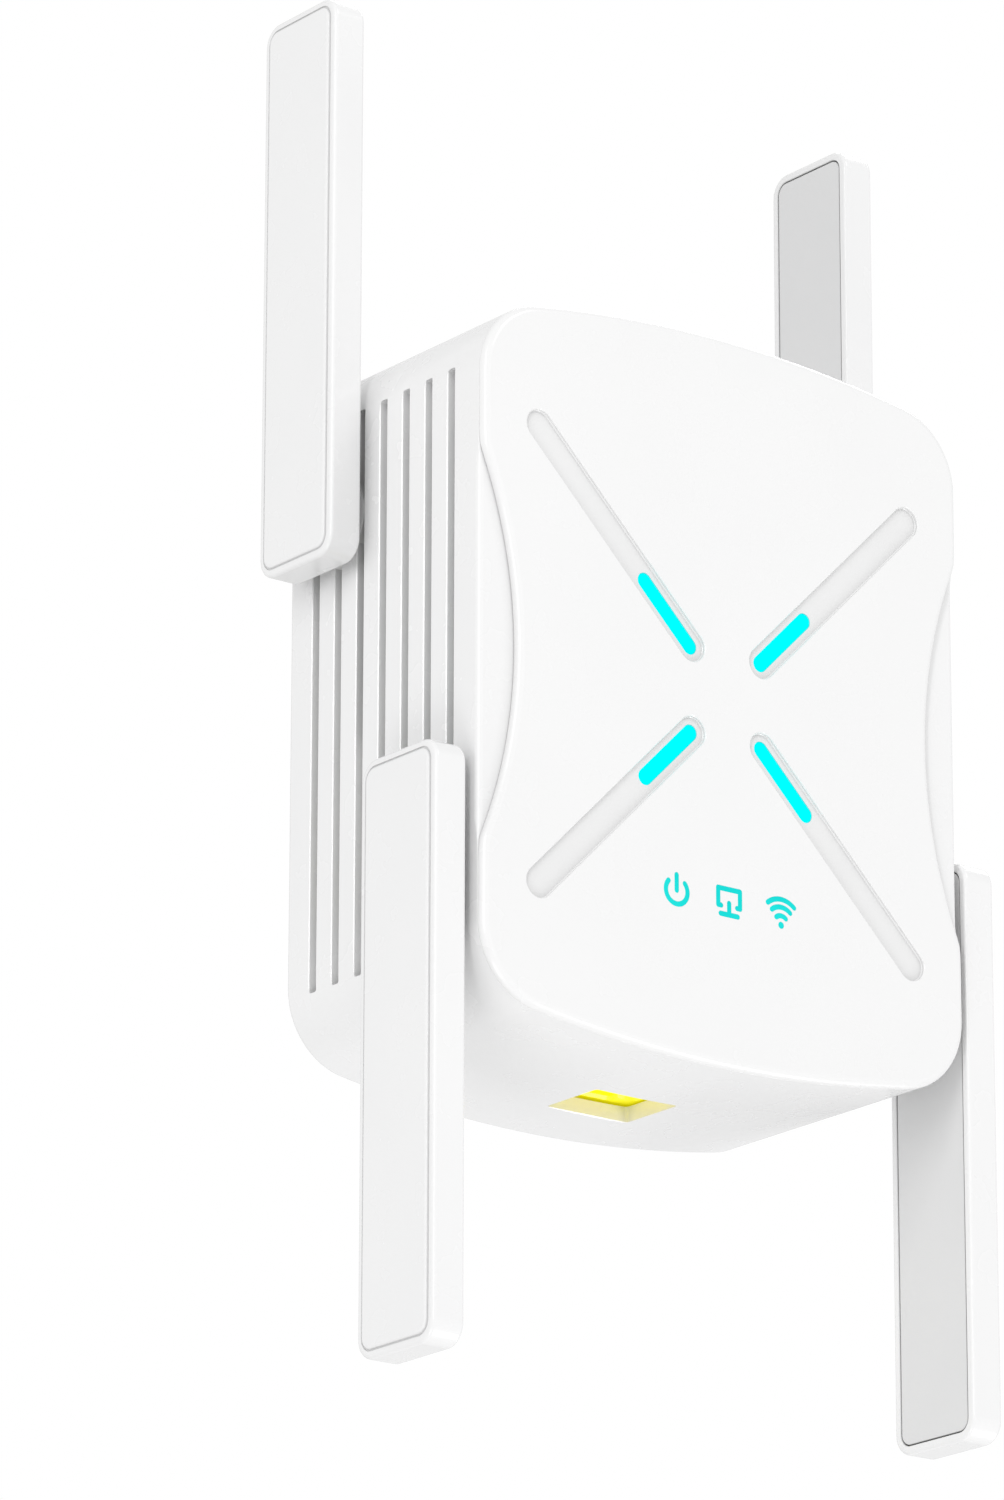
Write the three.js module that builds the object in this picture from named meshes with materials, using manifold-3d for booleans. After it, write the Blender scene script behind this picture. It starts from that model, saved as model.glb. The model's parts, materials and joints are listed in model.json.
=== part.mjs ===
// Plug-in wifi range extender with four folding side antennas, an X-shaped light pattern on the
// front and one network socket underneath.
// Units are millimetres, +Z is up. The origin is the centre of the rear face, which lies against
// the wall in the plane y = 0. The front looks along -Y, and the left side of the front is -X.

import * as THREE from 'three';
import { mergeVertices } from 'three/addons/utils/BufferGeometryUtils.js';
import Module from 'manifold-3d';

const wasm = await Module();
wasm.setup();

// ---------------------------------------------------------------- driving dimensions

// body
const bodyWidth = 75;
const bodyHeight = 94;
const bodyDepth = 40;
const crownRadius = 180;      // the top and bottom faces are shallow arcs
const cornerRadius = 10;
const wall = 2;
const rearEdgeBevel = 1;
const seatGap = 0.1;          // between faces that rest on each other
const fitGap = 0.15;          // all round a piece that sits in an opening

// front panel
const panelStep = 1.1;        // how far the panel stands in front of the housing rim
const panelThickness = 2;
const panelEdgeBevel = 0.9;
const scallopDepth = 5.3;     // the waist cut into each side of the panel
const scallopHalfHeight = 25;
const rimThickness = 2;
const rimLip = 0.4;           // how far the rim reaches in past the wall
const spigotDepth = 2.5;
const spigotWall = 1.5;

// light pattern on the panel
const slotAngle = THREE.MathUtils.degToRad(45);
const slotInnerRadius = 7.8;
const slotFromSide = 8.5;     // from the slot's outer end to the body's side
const slotWidth = 4;
const slotDepth = 0.5;
const barStart = 7.85;
const barEnd = 17.75;
const barWidth = 2;
const barProud = 0.15;        // above the slot floor
const barFlange = 0.8;
const iconPitch = 8.14;
const iconFromBottom = 20.9;
const iconSize = 4.2;
const iconStroke = 0.62;
const iconClearance = 0.1;
const powerGap = 0.66;          // half the opening of the power symbol's ring, in radians
const screenOpening = 1.9;
const footLength = 3.2;
const waveRadii = [1.2, 2.3, 3.3];
const waveSpread = 0.68;        // half the angle of the wireless symbol's waves, in radians
const waveDotRadius = 0.42;

// side vents
const ventCount = 7;
const ventFirstFront = -6.3;  // front edge of the rearmost vent
const ventLastFromFront = 6.1;
const ventWidth = 1.4;
const ventFromEnds = 10.6;

// antennas
const armThickness = 4.9;
const armWidth = 15;
const armLength = 73.9;
const armEndTrim = 0.4;       // how much closer the pivot is to the end than to the sides
const armGap = 1.5;           // between the body's side and the antenna
const armCornerRadius = 2.8;
const armEdgeBevel = 0.55;
const armWall = 1.1;
const armTop = 1;
const armPadInset = 1.2;
const armPadHeight = 0.3;
const armCover = 1;
const armLedge = 0.6;
const upperHubFromRear = 9.5;
const upperHubFromTop = 23.9;
const lowerHubFromFront = 8.8;
const lowerHubFromBottom = 26.9;
const coverRim = 2.1;         // left of the antenna's inner cover around the collar's hole
const collarStep = 0.6;
const stubBore = 1.1;
const stubClearance = 0.2;
const hubWall = 2.7;
const hubDepth = 3.6;
const clipThickness = 1;
const clipGrooveDepth = 0.7;
const clipReach = 1.5;        // how far the clip stands out past the stub
const clipClearance = 0.2;
const stubTail = 1.3;         // stub left beyond the clip groove
const elementThickness = 0.8;
const elementSideGap = 0.7;
const elementInnerGap = 0.35;
const elementOuterGap = 0.55;
const elementLength = 52;
const elementStart = 8;
const feedCableRadius = 0.45;

// rear cover, screws and plug
const coverThickness = 2.5;
const screwBossRadius = 4.2;
const screwBossFromEnd = 13.5;
const screwBossEmbed = 0.3;
const screwHeadRadius = 2.6;
const screwHeadHeight = 1.2;
const screwShankRadius = 1.15;
const screwLength = 8;
const screwClearance = 0.25;
const screwCrossLength = 3;
const screwCrossWidth = 0.6;
const screwCrossDepth = 0.7;
const pinSpacing = 12.7;
const pinWidth = 6.35;
const pinThickness = 1.5;
const pinLength = 17;
const pinTip = 1.6;
const pinHoleRadius = 1.6;
const pinHoleFromTip = 5.1;
const pinHeight = 12.5;
const carrierWidth = 25;
const carrierHeight = 15;
const carrierRadius = 4;
const carrierFlange = 2;
const labelWidth = 42;
const labelHeight = 20;
const labelRadius = 1;
const labelThickness = 0.25;
const labelRecess = 0.4;
const labelCentre = -22;

// boards and what they carry
const boardThickness = 1.6;
const boardGap = 1;           // around a board's edges
const postRadius = 1.8;
const postMargin = 1;
const powerBoardRear = -6;
const powerBoardFromBottom = 23;
const powerBoardFromTop = 16;
const mainBoardFromFront = 15.5;
const mainBoardFromTop = 9;
const ledBoardThickness = 1;
const ledBoardFromPanel = 4;
const ledBoardFromTop = 22;
const ledBoardFromBottom = 14;
const ledBoardToStub = 6.2;   // leaves room for the coaxial leads
const ledPostPitch = 16;
const ledPostInset = 3;
const ledHeight = 0.7;
const ledSize = 1.8;
const coaxRadius = 0.6;
const transformerWidth = 16;
const transformerHeight = 18;
const transformerFromSide = 2;
const transformerFromBottom = 9;
const transformerFrontGap = 5.8;
const coilWidth = 19;
const coilHeight = 11;
const coilMargin = 1.5;
const capacitorRadius = 4.2;
const capacitorFrontGap = 3.8;
const capacitorRimWidth = 0.8;
const capacitorRimDepth = 0.3;
const capacitorPlaces = { left: { x: -11, fromTop: 9 }, right: { x: 0, fromTop: 7 } };
const linkX = -13;
const linkFromBottom = 12;
const linkWidth = 8;
const linkHeight = 4;
const linkPinPitch = 2.5;
const linkPinSize = 0.8;
const shieldWidth = 30;
const shieldBottom = -12;
const shieldTop = 18;
const shieldDepth = 2.4;
const shieldSheet = 0.4;
const heatsinkInset = 4;      // the heatsink is this much smaller than the shield it sits on
const heatsinkBase = 1;
const finCount = 7;
const finThickness = 1.2;
const finHeight = 2.3;

// network socket
const portSideMargin = 0.35;  // between the socket and the edge of the housing's opening
const portEndMargin = 0.45;
const portToBoard = 7.6;      // from the main board to the middle of the socket
const jackWall = 2;
const jackSeatGap = 0.3;      // above the housing's floor
const jackHeight = 17.5;
const socketWidth = 11.9;
const socketDepth = 7.4;
const latchWidth = 6.2;
const latchDepth = 1.7;
const socketHeight = 13;
const contactCount = 8;
const contactPitch = 1.02;
const contactWidth = 0.5;
const contactReach = 9;

// push button on the top face
const buttonX = 14;
const buttonToBoard = 2.6;
const buttonRadius = 3;
const buttonProud = 0.8;
const buttonTravel = 0.5;
const buttonFlangeRadius = 4.1;
const buttonStemRadius = 1.4;
const buttonClearance = 0.2;
const switchSize = 4.6;
const switchProud = 0.6;      // above the main board's top edge
const actuatorHeight = 0.9;
const actuatorRadius = 0.9;

// ---------------------------------------------------------------- values worked out from them

const halfWidth = bodyWidth / 2;
const halfHeight = bodyHeight / 2;
const frontFace = -bodyDepth;
const rimFront = frontFace + panelStep;
const rimBack = rimFront + rimThickness;
const panelBack = frontFace + panelThickness;
const slotFloor = frontFace + slotDepth;
const slotOuterRadius = (halfWidth - slotFromSide) / Math.cos(slotAngle);
const spigotInset = wall + rimLip;
const iconHeight = -(halfHeight - iconFromBottom);
const ventPitch = (ventFirstFront - frontFace - ventLastFromFront) / (ventCount - 1);
const ventHalfHeight = halfHeight - ventFromEnds;
const cornerX = halfWidth - cornerRadius;
const crownCentre = halfHeight - crownRadius;
const cornerZ = crownCentre + Math.sqrt((crownRadius - cornerRadius) ** 2 - cornerX ** 2);
const cornerAngle = Math.atan2(cornerZ - crownCentre, cornerX);
const scallopRadius = (scallopHalfHeight ** 2 + scallopDepth ** 2) / (2 * scallopDepth);
const scallopCentre = halfWidth - scallopDepth + scallopRadius;
const coverInset = wall + fitGap;
const screwBossX = halfWidth - wall - screwBossRadius + screwBossEmbed;
const screwBossZ = halfHeight - screwBossFromEnd;

// height of the outer crown surface above the middle plane, at a distance from the centre line
function crownHeight(x, inset = 0) {
  return crownCentre + Math.sqrt((crownRadius - inset) ** 2 - x ** 2);
}

const armInner = halfWidth + armGap;
const armOuter = armInner + armThickness;
const armPivotFromEnd = armWidth / 2 - armEndTrim;
const stubCollarRadius = armPivotFromEnd - armWall - coverRim;
const stubRadius = stubCollarRadius - collarStep;
const stubFlangeRadius = armPivotFromEnd - armWall - armLedge - fitGap;
const hubRadius = stubRadius + hubWall;
const hubInner = halfWidth - hubDepth;
const clipOuter = hubInner - clipClearance;
const clipInner = clipOuter - clipThickness;
const clipGrooveRadius = stubRadius - clipGrooveDepth;
const clipRadius = stubRadius + clipReach;
const stubEnd = clipInner - clipClearance - stubTail;

const postInset = postRadius + postMargin;
const mainBoardWidth = 2 * (screwBossX - screwBossRadius - boardGap);
const mainBoardBottom = boardGap - crownHeight(mainBoardWidth / 2, wall);
const mainBoardTop = halfHeight - mainBoardFromTop;
const mainBoardRear = frontFace + mainBoardFromFront;
const mainBoardFront = mainBoardRear - boardThickness;
const powerBoardWidth = mainBoardWidth - 2 * (postInset + postRadius + boardGap);
const powerBoardBottom = powerBoardFromBottom - halfHeight;
const powerBoardTop = halfHeight - powerBoardFromTop;
const powerBoardFront = powerBoardRear - boardThickness;
const ledBoardWidth = 2 * (stubEnd - ledBoardToStub);
const ledBoardTop = halfHeight - ledBoardFromTop;
const ledBoardBottom = ledBoardFromBottom - halfHeight;
const ledBoardCentre = (ledBoardTop + ledBoardBottom) / 2;
const ledBoardFront = panelBack + ledBoardFromPanel;
const ledBoardRear = ledBoardFront + ledBoardThickness;

const portWidth = socketWidth + 2 * portSideMargin;
const portDepth = socketDepth + latchDepth + 2 * portEndMargin;
const portCentre = mainBoardRear + portToBoard;
const buttonDepth = mainBoardRear + buttonToBoard;

// ---------------------------------------------------------------- solids

function toSolid(geometry) {
  const plain = geometry.clone();
  plain.deleteAttribute('normal');
  plain.deleteAttribute('uv');
  const merged = mergeVertices(plain, 1e-4);
  const position = merged.attributes.position.array;
  const index = merged.index.array;
  const kept = [];
  for (let i = 0; i < index.length; i += 3) {
    const [a, b, c] = [index[i], index[i + 1], index[i + 2]];
    if (a !== b && b !== c && c !== a) {
      kept.push(a, b, c);
    }
  }
  if (signedVolume(position, kept) < 0) {
    kept.reverse();
  }
  return new wasm.Manifold(new wasm.Mesh({
    numProp: 3,
    vertProperties: new Float32Array(position),
    triVerts: new Uint32Array(kept),
  }));
}

function signedVolume(position, index) {
  const a = new THREE.Vector3();
  const b = new THREE.Vector3();
  const c = new THREE.Vector3();
  let volume = 0;
  for (let i = 0; i < index.length; i += 3) {
    a.fromArray(position, 3 * index[i]);
    b.fromArray(position, 3 * index[i + 1]);
    c.fromArray(position, 3 * index[i + 2]);
    volume += a.dot(b.cross(c)) / 6;
  }
  return volume;
}

function toGeometry(solid) {
  const mesh = solid.getMesh();
  const geometry = new THREE.BufferGeometry();
  geometry.setAttribute('position', new THREE.BufferAttribute(new Float32Array(mesh.vertProperties), 3));
  geometry.setIndex(new THREE.BufferAttribute(new Uint32Array(mesh.triVerts), 1));
  geometry.computeVertexNormals();
  return geometry;
}

// the same solid on the other side of the body
function mirrored(solid) {
  return toSolid(toGeometry(solid).scale(-1, 1, 1));
}

function box(x0, x1, y0, y1, z0, z1) {
  const geometry = new THREE.BoxGeometry(x1 - x0, y1 - y0, z1 - z0);
  return toSolid(geometry.translate((x0 + x1) / 2, (y0 + y1) / 2, (z0 + z1) / 2));
}

function extrude(shape, length, bevel, segments) {
  return new THREE.ExtrudeGeometry(shape, {
    depth: length - 2 * bevel,
    bevelEnabled: bevel > 0,
    bevelThickness: bevel,
    bevelSize: bevel,
    bevelOffset: -bevel,
    bevelSegments: segments,
    curveSegments: 6,
  }).translate(0, 0, bevel);
}

// a prism between two depths, from an outline drawn in x and z
function prismY(shape, yBack, yFront, bevel = 0, segments = 3) {
  const geometry = extrude(shape, yBack - yFront, bevel, segments);
  return toSolid(geometry.rotateX(Math.PI / 2).translate(0, yBack, 0));
}

// a prism between two x values, from an outline drawn in y and z
const yzToX = new THREE.Matrix4().makeBasis(
  new THREE.Vector3(0, 1, 0),
  new THREE.Vector3(0, 0, 1),
  new THREE.Vector3(1, 0, 0),
);

function prismX(shape, x0, x1, bevel = 0, segments = 3) {
  const geometry = extrude(shape, x1 - x0, bevel, segments);
  return toSolid(geometry.applyMatrix4(yzToX).translate(x0, 0, 0));
}

function cylinderX(radius, x0, x1, y, z, sides = 20) {
  const geometry = new THREE.CylinderGeometry(radius, radius, x1 - x0, sides);
  return toSolid(geometry.rotateZ(-Math.PI / 2).translate((x0 + x1) / 2, y, z));
}

function cylinderY(radius, y0, y1, x, z, sides = 14) {
  const geometry = new THREE.CylinderGeometry(radius, radius, y1 - y0, sides);
  return toSolid(geometry.translate(x, (y0 + y1) / 2, z));
}

function cylinderZ(radius, z0, z1, x, y, sides = 20) {
  const geometry = new THREE.CylinderGeometry(radius, radius, z1 - z0, sides);
  return toSolid(geometry.rotateX(Math.PI / 2).translate(x, y, (z0 + z1) / 2));
}

function cable(points, radius) {
  const path = new THREE.CatmullRomCurve3(points);
  const section = new THREE.Shape(arc(0, 0, radius, 0, 2 * Math.PI, 8).slice(0, 8));
  const steps = Math.ceil(path.getLength() / (5 * radius));
  return toSolid(new THREE.ExtrudeGeometry(section, { steps, bevelEnabled: false, extrudePath: path }));
}

function joinAll(solids) {
  return solids.reduce((sum, solid) => sum.add(solid));
}

// ---------------------------------------------------------------- outlines

function arc(cx, cz, radius, from, to, steps) {
  return Array.from({ length: steps + 1 }, (_, i) => {
    const angle = from + ((to - from) * i) / steps;
    return new THREE.Vector2(cx + radius * Math.cos(angle), cz + radius * Math.sin(angle));
  });
}

// the body's outline from the front, moved in by a distance: straight sides, crowned top and bottom
function crownedHalf(inset, turn) {
  const corner = cornerRadius - inset;
  const flip = turn ? -1 : 1;
  const points = [
    ...arc(cornerX, cornerZ, corner, 0, cornerAngle, 5),
    ...arc(0, crownCentre, crownRadius - inset, cornerAngle, Math.PI - cornerAngle, 10).slice(1, -1),
    ...arc(-cornerX, cornerZ, corner, Math.PI - cornerAngle, Math.PI, 5),
  ];
  return points.map((point) => point.multiplyScalar(flip));
}

function bodyOutline(inset) {
  return new THREE.Shape([...crownedHalf(inset, false), ...crownedHalf(inset, true)]);
}

// the front panel's outline: the body's outline with a shallow waist in both sides
function panelOutline(inset) {
  const radius = scallopRadius + inset;
  const reach = Math.asin(Math.sqrt(radius ** 2 - (scallopCentre - halfWidth + inset) ** 2) / radius);
  const left = arc(-scallopCentre, 0, radius, reach, -reach, 14);
  const right = left.map((point) => point.clone().multiplyScalar(-1));
  return new THREE.Shape([...crownedHalf(inset, false), ...left, ...crownedHalf(inset, true), ...right]);
}

function roundedRectangle(width, height, radius, cx = 0, cy = 0, steps = 3) {
  const x = width / 2 - radius;
  const y = height / 2 - radius;
  const quarter = Math.PI / 2;
  return new THREE.Shape([
    ...arc(cx + x, cy + y, radius, 0, quarter, steps),
    ...arc(cx - x, cy + y, radius, quarter, 2 * quarter, steps),
    ...arc(cx - x, cy - y, radius, 2 * quarter, 3 * quarter, steps),
    ...arc(cx + x, cy - y, radius, 3 * quarter, 4 * quarter, steps),
  ]);
}

// a round-ended strip between two distances from the centre, in a given direction
function strip(from, to, width, angle, steps = 5) {
  const along = new THREE.Vector2(Math.cos(angle), Math.sin(angle));
  const near = along.clone().multiplyScalar(from);
  const far = along.clone().multiplyScalar(to);
  const quarter = Math.PI / 2;
  return new THREE.Shape([
    ...arc(far.x, far.y, width / 2, angle - quarter, angle + quarter, steps),
    ...arc(near.x, near.y, width / 2, angle + quarter, angle + 3 * quarter, steps),
  ]);
}

function ringSector(cx, cz, inner, outer, from, to, steps) {
  return new THREE.Shape([
    ...arc(cx, cz, outer, from, to, steps),
    ...arc(cx, cz, inner, to, from, steps),
  ]);
}

function rectangle(x0, x1, z0, z1) {
  return new THREE.Shape([
    new THREE.Vector2(x0, z0),
    new THREE.Vector2(x1, z0),
    new THREE.Vector2(x1, z1),
    new THREE.Vector2(x0, z1),
  ]);
}

// ---------------------------------------------------------------- status icons

const barAngles = {
  upper_right: slotAngle,
  upper_left: Math.PI - slotAngle,
  lower_left: Math.PI + slotAngle,
  lower_right: 2 * Math.PI - slotAngle,
};

// power, network and wireless symbols as flat strokes; grow widens every stroke for its cut-out
function iconShapes(grow) {
  const half = iconStroke / 2 + grow;
  const size = iconSize / 2;
  const shapes = [];

  const powerX = -iconPitch;
  const powerZ = iconHeight - 0.15;
  const ring = size - 0.43;
  const gap = powerGap - grow / ring;
  const from = Math.PI / 2 + gap;
  const to = 2.5 * Math.PI - gap;
  shapes.push(ringSector(powerX, powerZ, ring - half, ring + half, from, to, 14));
  shapes.push(rectangle(powerX - half, powerX + half, powerZ + 0.05 - half, powerZ + ring + 0.35 + half));

  // the screen's frame is left open at its lower middle, and the stand hangs below the opening
  const screenTop = iconHeight + size - 0.62 + half;
  const screenBottom = iconHeight - 0.69 - half;
  const screenSide = size - 0.4 + half;
  const stroke = 2 * half;
  const footGap = screenOpening / 2 - grow;
  const footReach = footLength / 2 + grow;
  const footZ = iconHeight - size + 0.35;
  shapes.push(rectangle(-screenSide, screenSide, screenTop - stroke, screenTop));
  shapes.push(rectangle(-screenSide, -screenSide + stroke, screenBottom, screenTop));
  shapes.push(rectangle(screenSide - stroke, screenSide, screenBottom, screenTop));
  shapes.push(rectangle(-screenSide, -footGap, screenBottom, screenBottom + stroke));
  shapes.push(rectangle(footGap, screenSide, screenBottom, screenBottom + stroke));
  shapes.push(rectangle(-half, half, footZ, iconHeight - 0.27 + half));
  shapes.push(rectangle(-footReach, footReach, footZ - half, footZ + half));

  const waveX = iconPitch;
  const waveZ = iconHeight - size + 0.55;
  shapes.push(new THREE.Shape(arc(waveX, waveZ, waveDotRadius + grow, 0, 2 * Math.PI, 8).slice(0, 8)));
  for (const radius of waveRadii) {
    const reach = waveSpread + half / radius;
    const start = Math.PI / 2 - reach;
    shapes.push(ringSector(waveX, waveZ, radius - half, radius + half, start, start + 2 * reach, 6));
  }
  return shapes;
}

function iconPrisms(grow, yBack, yFront) {
  return joinAll(iconShapes(grow).map((shape) => prismY(shape, yBack, yFront)));
}

// ---------------------------------------------------------------- materials

function plastic(color, roughness) {
  return new THREE.MeshStandardMaterial({ color, roughness, metalness: 0 });
}

function metal(color, roughness) {
  return new THREE.MeshStandardMaterial({ color, roughness, metalness: 1 });
}

const whiteShell = plastic(0xf4f4f4, 0.35);
const whiteSatin = plastic(0xe8e8e8, 0.5);
const greyCover = plastic(0xdcdcdc, 0.55);
const cyanLens = plastic(0x00f2f2, 0.3);
const yellowSocket = plastic(0xf4ee2a, 0.45);
const darkPlastic = plastic(0x2a2a2c, 0.6);
const greenBoard = plastic(0x1f6b3c, 0.5);
const labelPaper = plastic(0xd5d7da, 0.7);
const cableJacket = plastic(0x3a3b3d, 0.5);
const nickel = metal(0xc9c9c5, 0.3);
const brass = metal(0xd0aa55, 0.3);
const aluminium = metal(0xb9bcc0, 0.4);

// ---------------------------------------------------------------- housing

const ends = [-1, 1];

const hubs = {
  upper: { depth: -upperHubFromRear, height: halfHeight - upperHubFromTop, turn: 0 },
  lower: { depth: frontFace + lowerHubFromFront, height: lowerHubFromBottom - halfHeight, turn: Math.PI },
};

function makeHousing() {
  const beyond = 2 * rearEdgeBevel + 1;
  let solid = prismY(bodyOutline(0), 0, frontFace - beyond, rearEdgeBevel, 1);
  solid = solid.subtract(box(
    -bodyWidth, bodyWidth, frontFace - 2 * beyond, rimFront, -bodyHeight, bodyHeight,
  ));
  solid = solid.subtract(prismY(bodyOutline(wall), 1, rimBack));

  // screw bosses stand in the corners and grow out of the side walls
  const bossBack = -coverThickness - seatGap;
  const bossFront = rimFront + spigotDepth + fitGap;
  for (const x of ends) {
    for (const z of ends) {
      const boss = cylinderY(screwBossRadius, bossFront, bossBack, x * screwBossX, z * screwBossZ);
      solid = solid.add(boss.intersect(prismY(bodyOutline(wall / 2), 1, rimFront)));
      const bore = cylinderY(
        screwShankRadius + fitGap, bossBack - screwLength, bossBack + 1, x * screwBossX, z * screwBossZ, 10,
      );
      solid = solid.subtract(bore);
    }
  }

  // vents first, then the antenna hubs close them again around each bore
  for (const side of ends) {
    const [inner, outer] = [side * (halfWidth - wall - 0.05), side * (halfWidth + 1)].sort((a, b) => a - b);
    for (let i = 0; i < ventCount; i += 1) {
      const front = ventFirstFront - i * ventPitch;
      solid = solid.subtract(box(inner, outer, front, front + ventWidth, -ventHalfHeight, ventHalfHeight));
    }
    for (const { depth, height } of Object.values(hubs)) {
      const [from, to] = [side * hubInner, side * halfWidth].sort((a, b) => a - b);
      solid = solid.add(cylinderX(hubRadius, from, to, depth, height));
      solid = solid.subtract(cylinderX(stubRadius + stubClearance, from - 1, to + 1, depth, height));
    }
  }

  // the front opening takes the panel's spigot
  solid = solid.subtract(prismY(panelOutline(spigotInset), bossFront, rimFront - 1));

  // opening for the network socket and for the push button
  solid = solid.subtract(box(
    -portWidth / 2, portWidth / 2, portCentre - portDepth / 2, portCentre + portDepth / 2,
    -halfHeight - 1, -halfHeight + 3 * wall,
  ));
  const buttonHole = cylinderZ(
    buttonRadius + buttonClearance, crownHeight(buttonX, 2 * wall), halfHeight + 1, buttonX, buttonDepth,
  );
  return solid.subtract(buttonHole);
}

// ---------------------------------------------------------------- front panel and lights

function makeFrontPanel() {
  const beyond = 2 * panelEdgeBevel + 1;
  let solid = prismY(panelOutline(0), rimFront + beyond, frontFace, panelEdgeBevel, 2);
  solid = solid.subtract(box(
    -bodyWidth, bodyWidth, rimFront - seatGap, rimFront + 2 * beyond, -bodyHeight, bodyHeight,
  ));
  const plugInset = spigotInset + fitGap;
  const spigotBack = rimFront + spigotDepth;
  solid = solid.add(prismY(panelOutline(plugInset), spigotBack, rimFront - panelStep / 2));
  solid = solid.subtract(prismY(panelOutline(plugInset + spigotWall), spigotBack + 1, panelBack));

  for (const angle of Object.values(barAngles)) {
    const slot = strip(slotInnerRadius, slotOuterRadius, slotWidth, angle);
    const barHole = strip(barStart, barEnd, barWidth + 2 * fitGap, angle);
    solid = solid.subtract(prismY(slot, slotFloor, frontFace - 1));
    solid = solid.subtract(prismY(barHole, panelBack + 1, frontFace - 1));
  }
  solid = solid.subtract(iconPrisms(iconClearance, panelBack + 1, frontFace - 1));

  // posts that carry the light board
  const postFront = panelBack - panelThickness / 4;
  for (const x of ends) {
    for (const z of ends) {
      const px = x * (ledBoardWidth / 2 - ledPostInset);
      const pz = ledBoardCentre + (z * ledPostPitch) / 2;
      solid = solid.add(cylinderY(postRadius, postFront, ledBoardFront - seatGap, px, pz, 10));
    }
  }
  return solid;
}

function makeLightBar(angle) {
  const back = ledBoardFront - ledHeight - seatGap;
  const stem = prismY(strip(barStart, barEnd, barWidth, angle), back, slotFloor - barProud);
  const flangeFront = panelBack + seatGap;
  return stem.add(prismY(strip(barStart, barEnd, barWidth + 2 * barFlange, angle), back, flangeFront));
}

function makeIconPipe() {
  const back = ledBoardFront - ledHeight - seatGap;
  const width = 2 * iconPitch + iconSize + 2;
  const base = roundedRectangle(width, iconSize + 2, 1, 0, iconHeight);
  return prismY(base, back, panelBack + seatGap).add(iconPrisms(0, panelBack + 0.5, frontFace));
}

function makeLedBoard() {
  const outline = roundedRectangle(ledBoardWidth, ledBoardTop - ledBoardBottom, 3, 0, ledBoardCentre);
  const half = ledSize / 2;
  const ledBack = ledBoardFront + ledBoardThickness / 2;
  let solid = prismY(outline, ledBoardRear, ledBoardFront);
  const lamps = [-iconPitch, 0, iconPitch].map((x) => [x, iconHeight]);
  for (const angle of Object.values(barAngles)) {
    for (const share of [0.25, 0.75]) {
      const radius = barStart + (barEnd - barStart) * share;
      lamps.push([radius * Math.cos(angle), radius * Math.sin(angle)]);
    }
  }
  for (const [x, z] of lamps) {
    solid = solid.add(box(x - half, x + half, ledBoardFront - ledHeight, ledBack, z - half, z + half));
  }
  return solid;
}

// ---------------------------------------------------------------- rear cover, plug and screws

function makeRearCover() {
  let solid = prismY(bodyOutline(coverInset), 0, -coverThickness);
  const opening = roundedRectangle(
    carrierWidth + 2 * fitGap, carrierHeight + 2 * fitGap, carrierRadius + fitGap, 0, pinHeight,
  );
  solid = solid.subtract(prismY(opening, 1, -coverThickness - 1));
  const recess = roundedRectangle(
    labelWidth + 2 * fitGap, labelHeight + 2 * fitGap, labelRadius + fitGap, 0, labelCentre,
  );
  solid = solid.subtract(prismY(recess, 1, -labelRecess));
  for (const x of ends) {
    for (const z of ends) {
      const [sx, sz] = [x * screwBossX, z * screwBossZ];
      const [shank, head] = [screwShankRadius + screwClearance, screwHeadRadius + screwClearance];
      solid = solid.subtract(cylinderY(shank, -coverThickness - 1, 1, sx, sz, 10));
      solid = solid.subtract(cylinderY(head, -screwHeadHeight - seatGap, 1, sx, sz));
    }
  }
  const boards = [
    [powerBoardWidth, powerBoardBottom, powerBoardTop, powerBoardRear],
    [mainBoardWidth, mainBoardBottom, mainBoardTop, mainBoardRear],
  ];
  for (const [width, bottom, top, rear] of boards) {
    for (const x of ends) {
      for (const z of [bottom + postInset, top - postInset]) {
        const centre = x * (width / 2 - postInset);
        solid = solid.add(cylinderY(postRadius, rear + seatGap, -coverThickness / 2, centre, z, 10));
      }
    }
  }
  return solid;
}

function makeCarrier() {
  const body = roundedRectangle(carrierWidth, carrierHeight, carrierRadius, 0, pinHeight);
  const flange = roundedRectangle(
    carrierWidth + 2 * carrierFlange, carrierHeight + 2 * carrierFlange, carrierRadius, 0, pinHeight,
  );
  const flangeBack = -coverThickness - seatGap;
  const front = powerBoardRear + seatGap;
  let solid = prismY(body, 0, front).add(prismY(flange, flangeBack, front));
  for (const side of ends) {
    const x = (side * pinSpacing) / 2;
    const half = pinThickness / 2 + fitGap;
    const reach = pinWidth / 2 + fitGap;
    solid = solid.subtract(box(x - half, x + half, front - 1, 1, pinHeight - reach, pinHeight + reach));
  }
  return solid;
}

function makePin() {
  const half = pinWidth / 2;
  const back = powerBoardRear + seatGap;
  const shoulder = pinLength - pinTip;
  const blade = new THREE.Shape([
    new THREE.Vector2(back, pinHeight - half),
    new THREE.Vector2(shoulder, pinHeight - half),
    new THREE.Vector2(pinLength, pinHeight - half + pinTip),
    new THREE.Vector2(pinLength, pinHeight + half - pinTip),
    new THREE.Vector2(shoulder, pinHeight + half),
    new THREE.Vector2(back, pinHeight + half),
  ]);
  const solid = prismX(blade, -pinThickness / 2, pinThickness / 2, 0.25, 1);
  const holeCentre = pinLength - pinHoleFromTip;
  return solid.subtract(cylinderX(pinHoleRadius, -pinThickness, pinThickness, holeCentre, pinHeight, 16));
}

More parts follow.
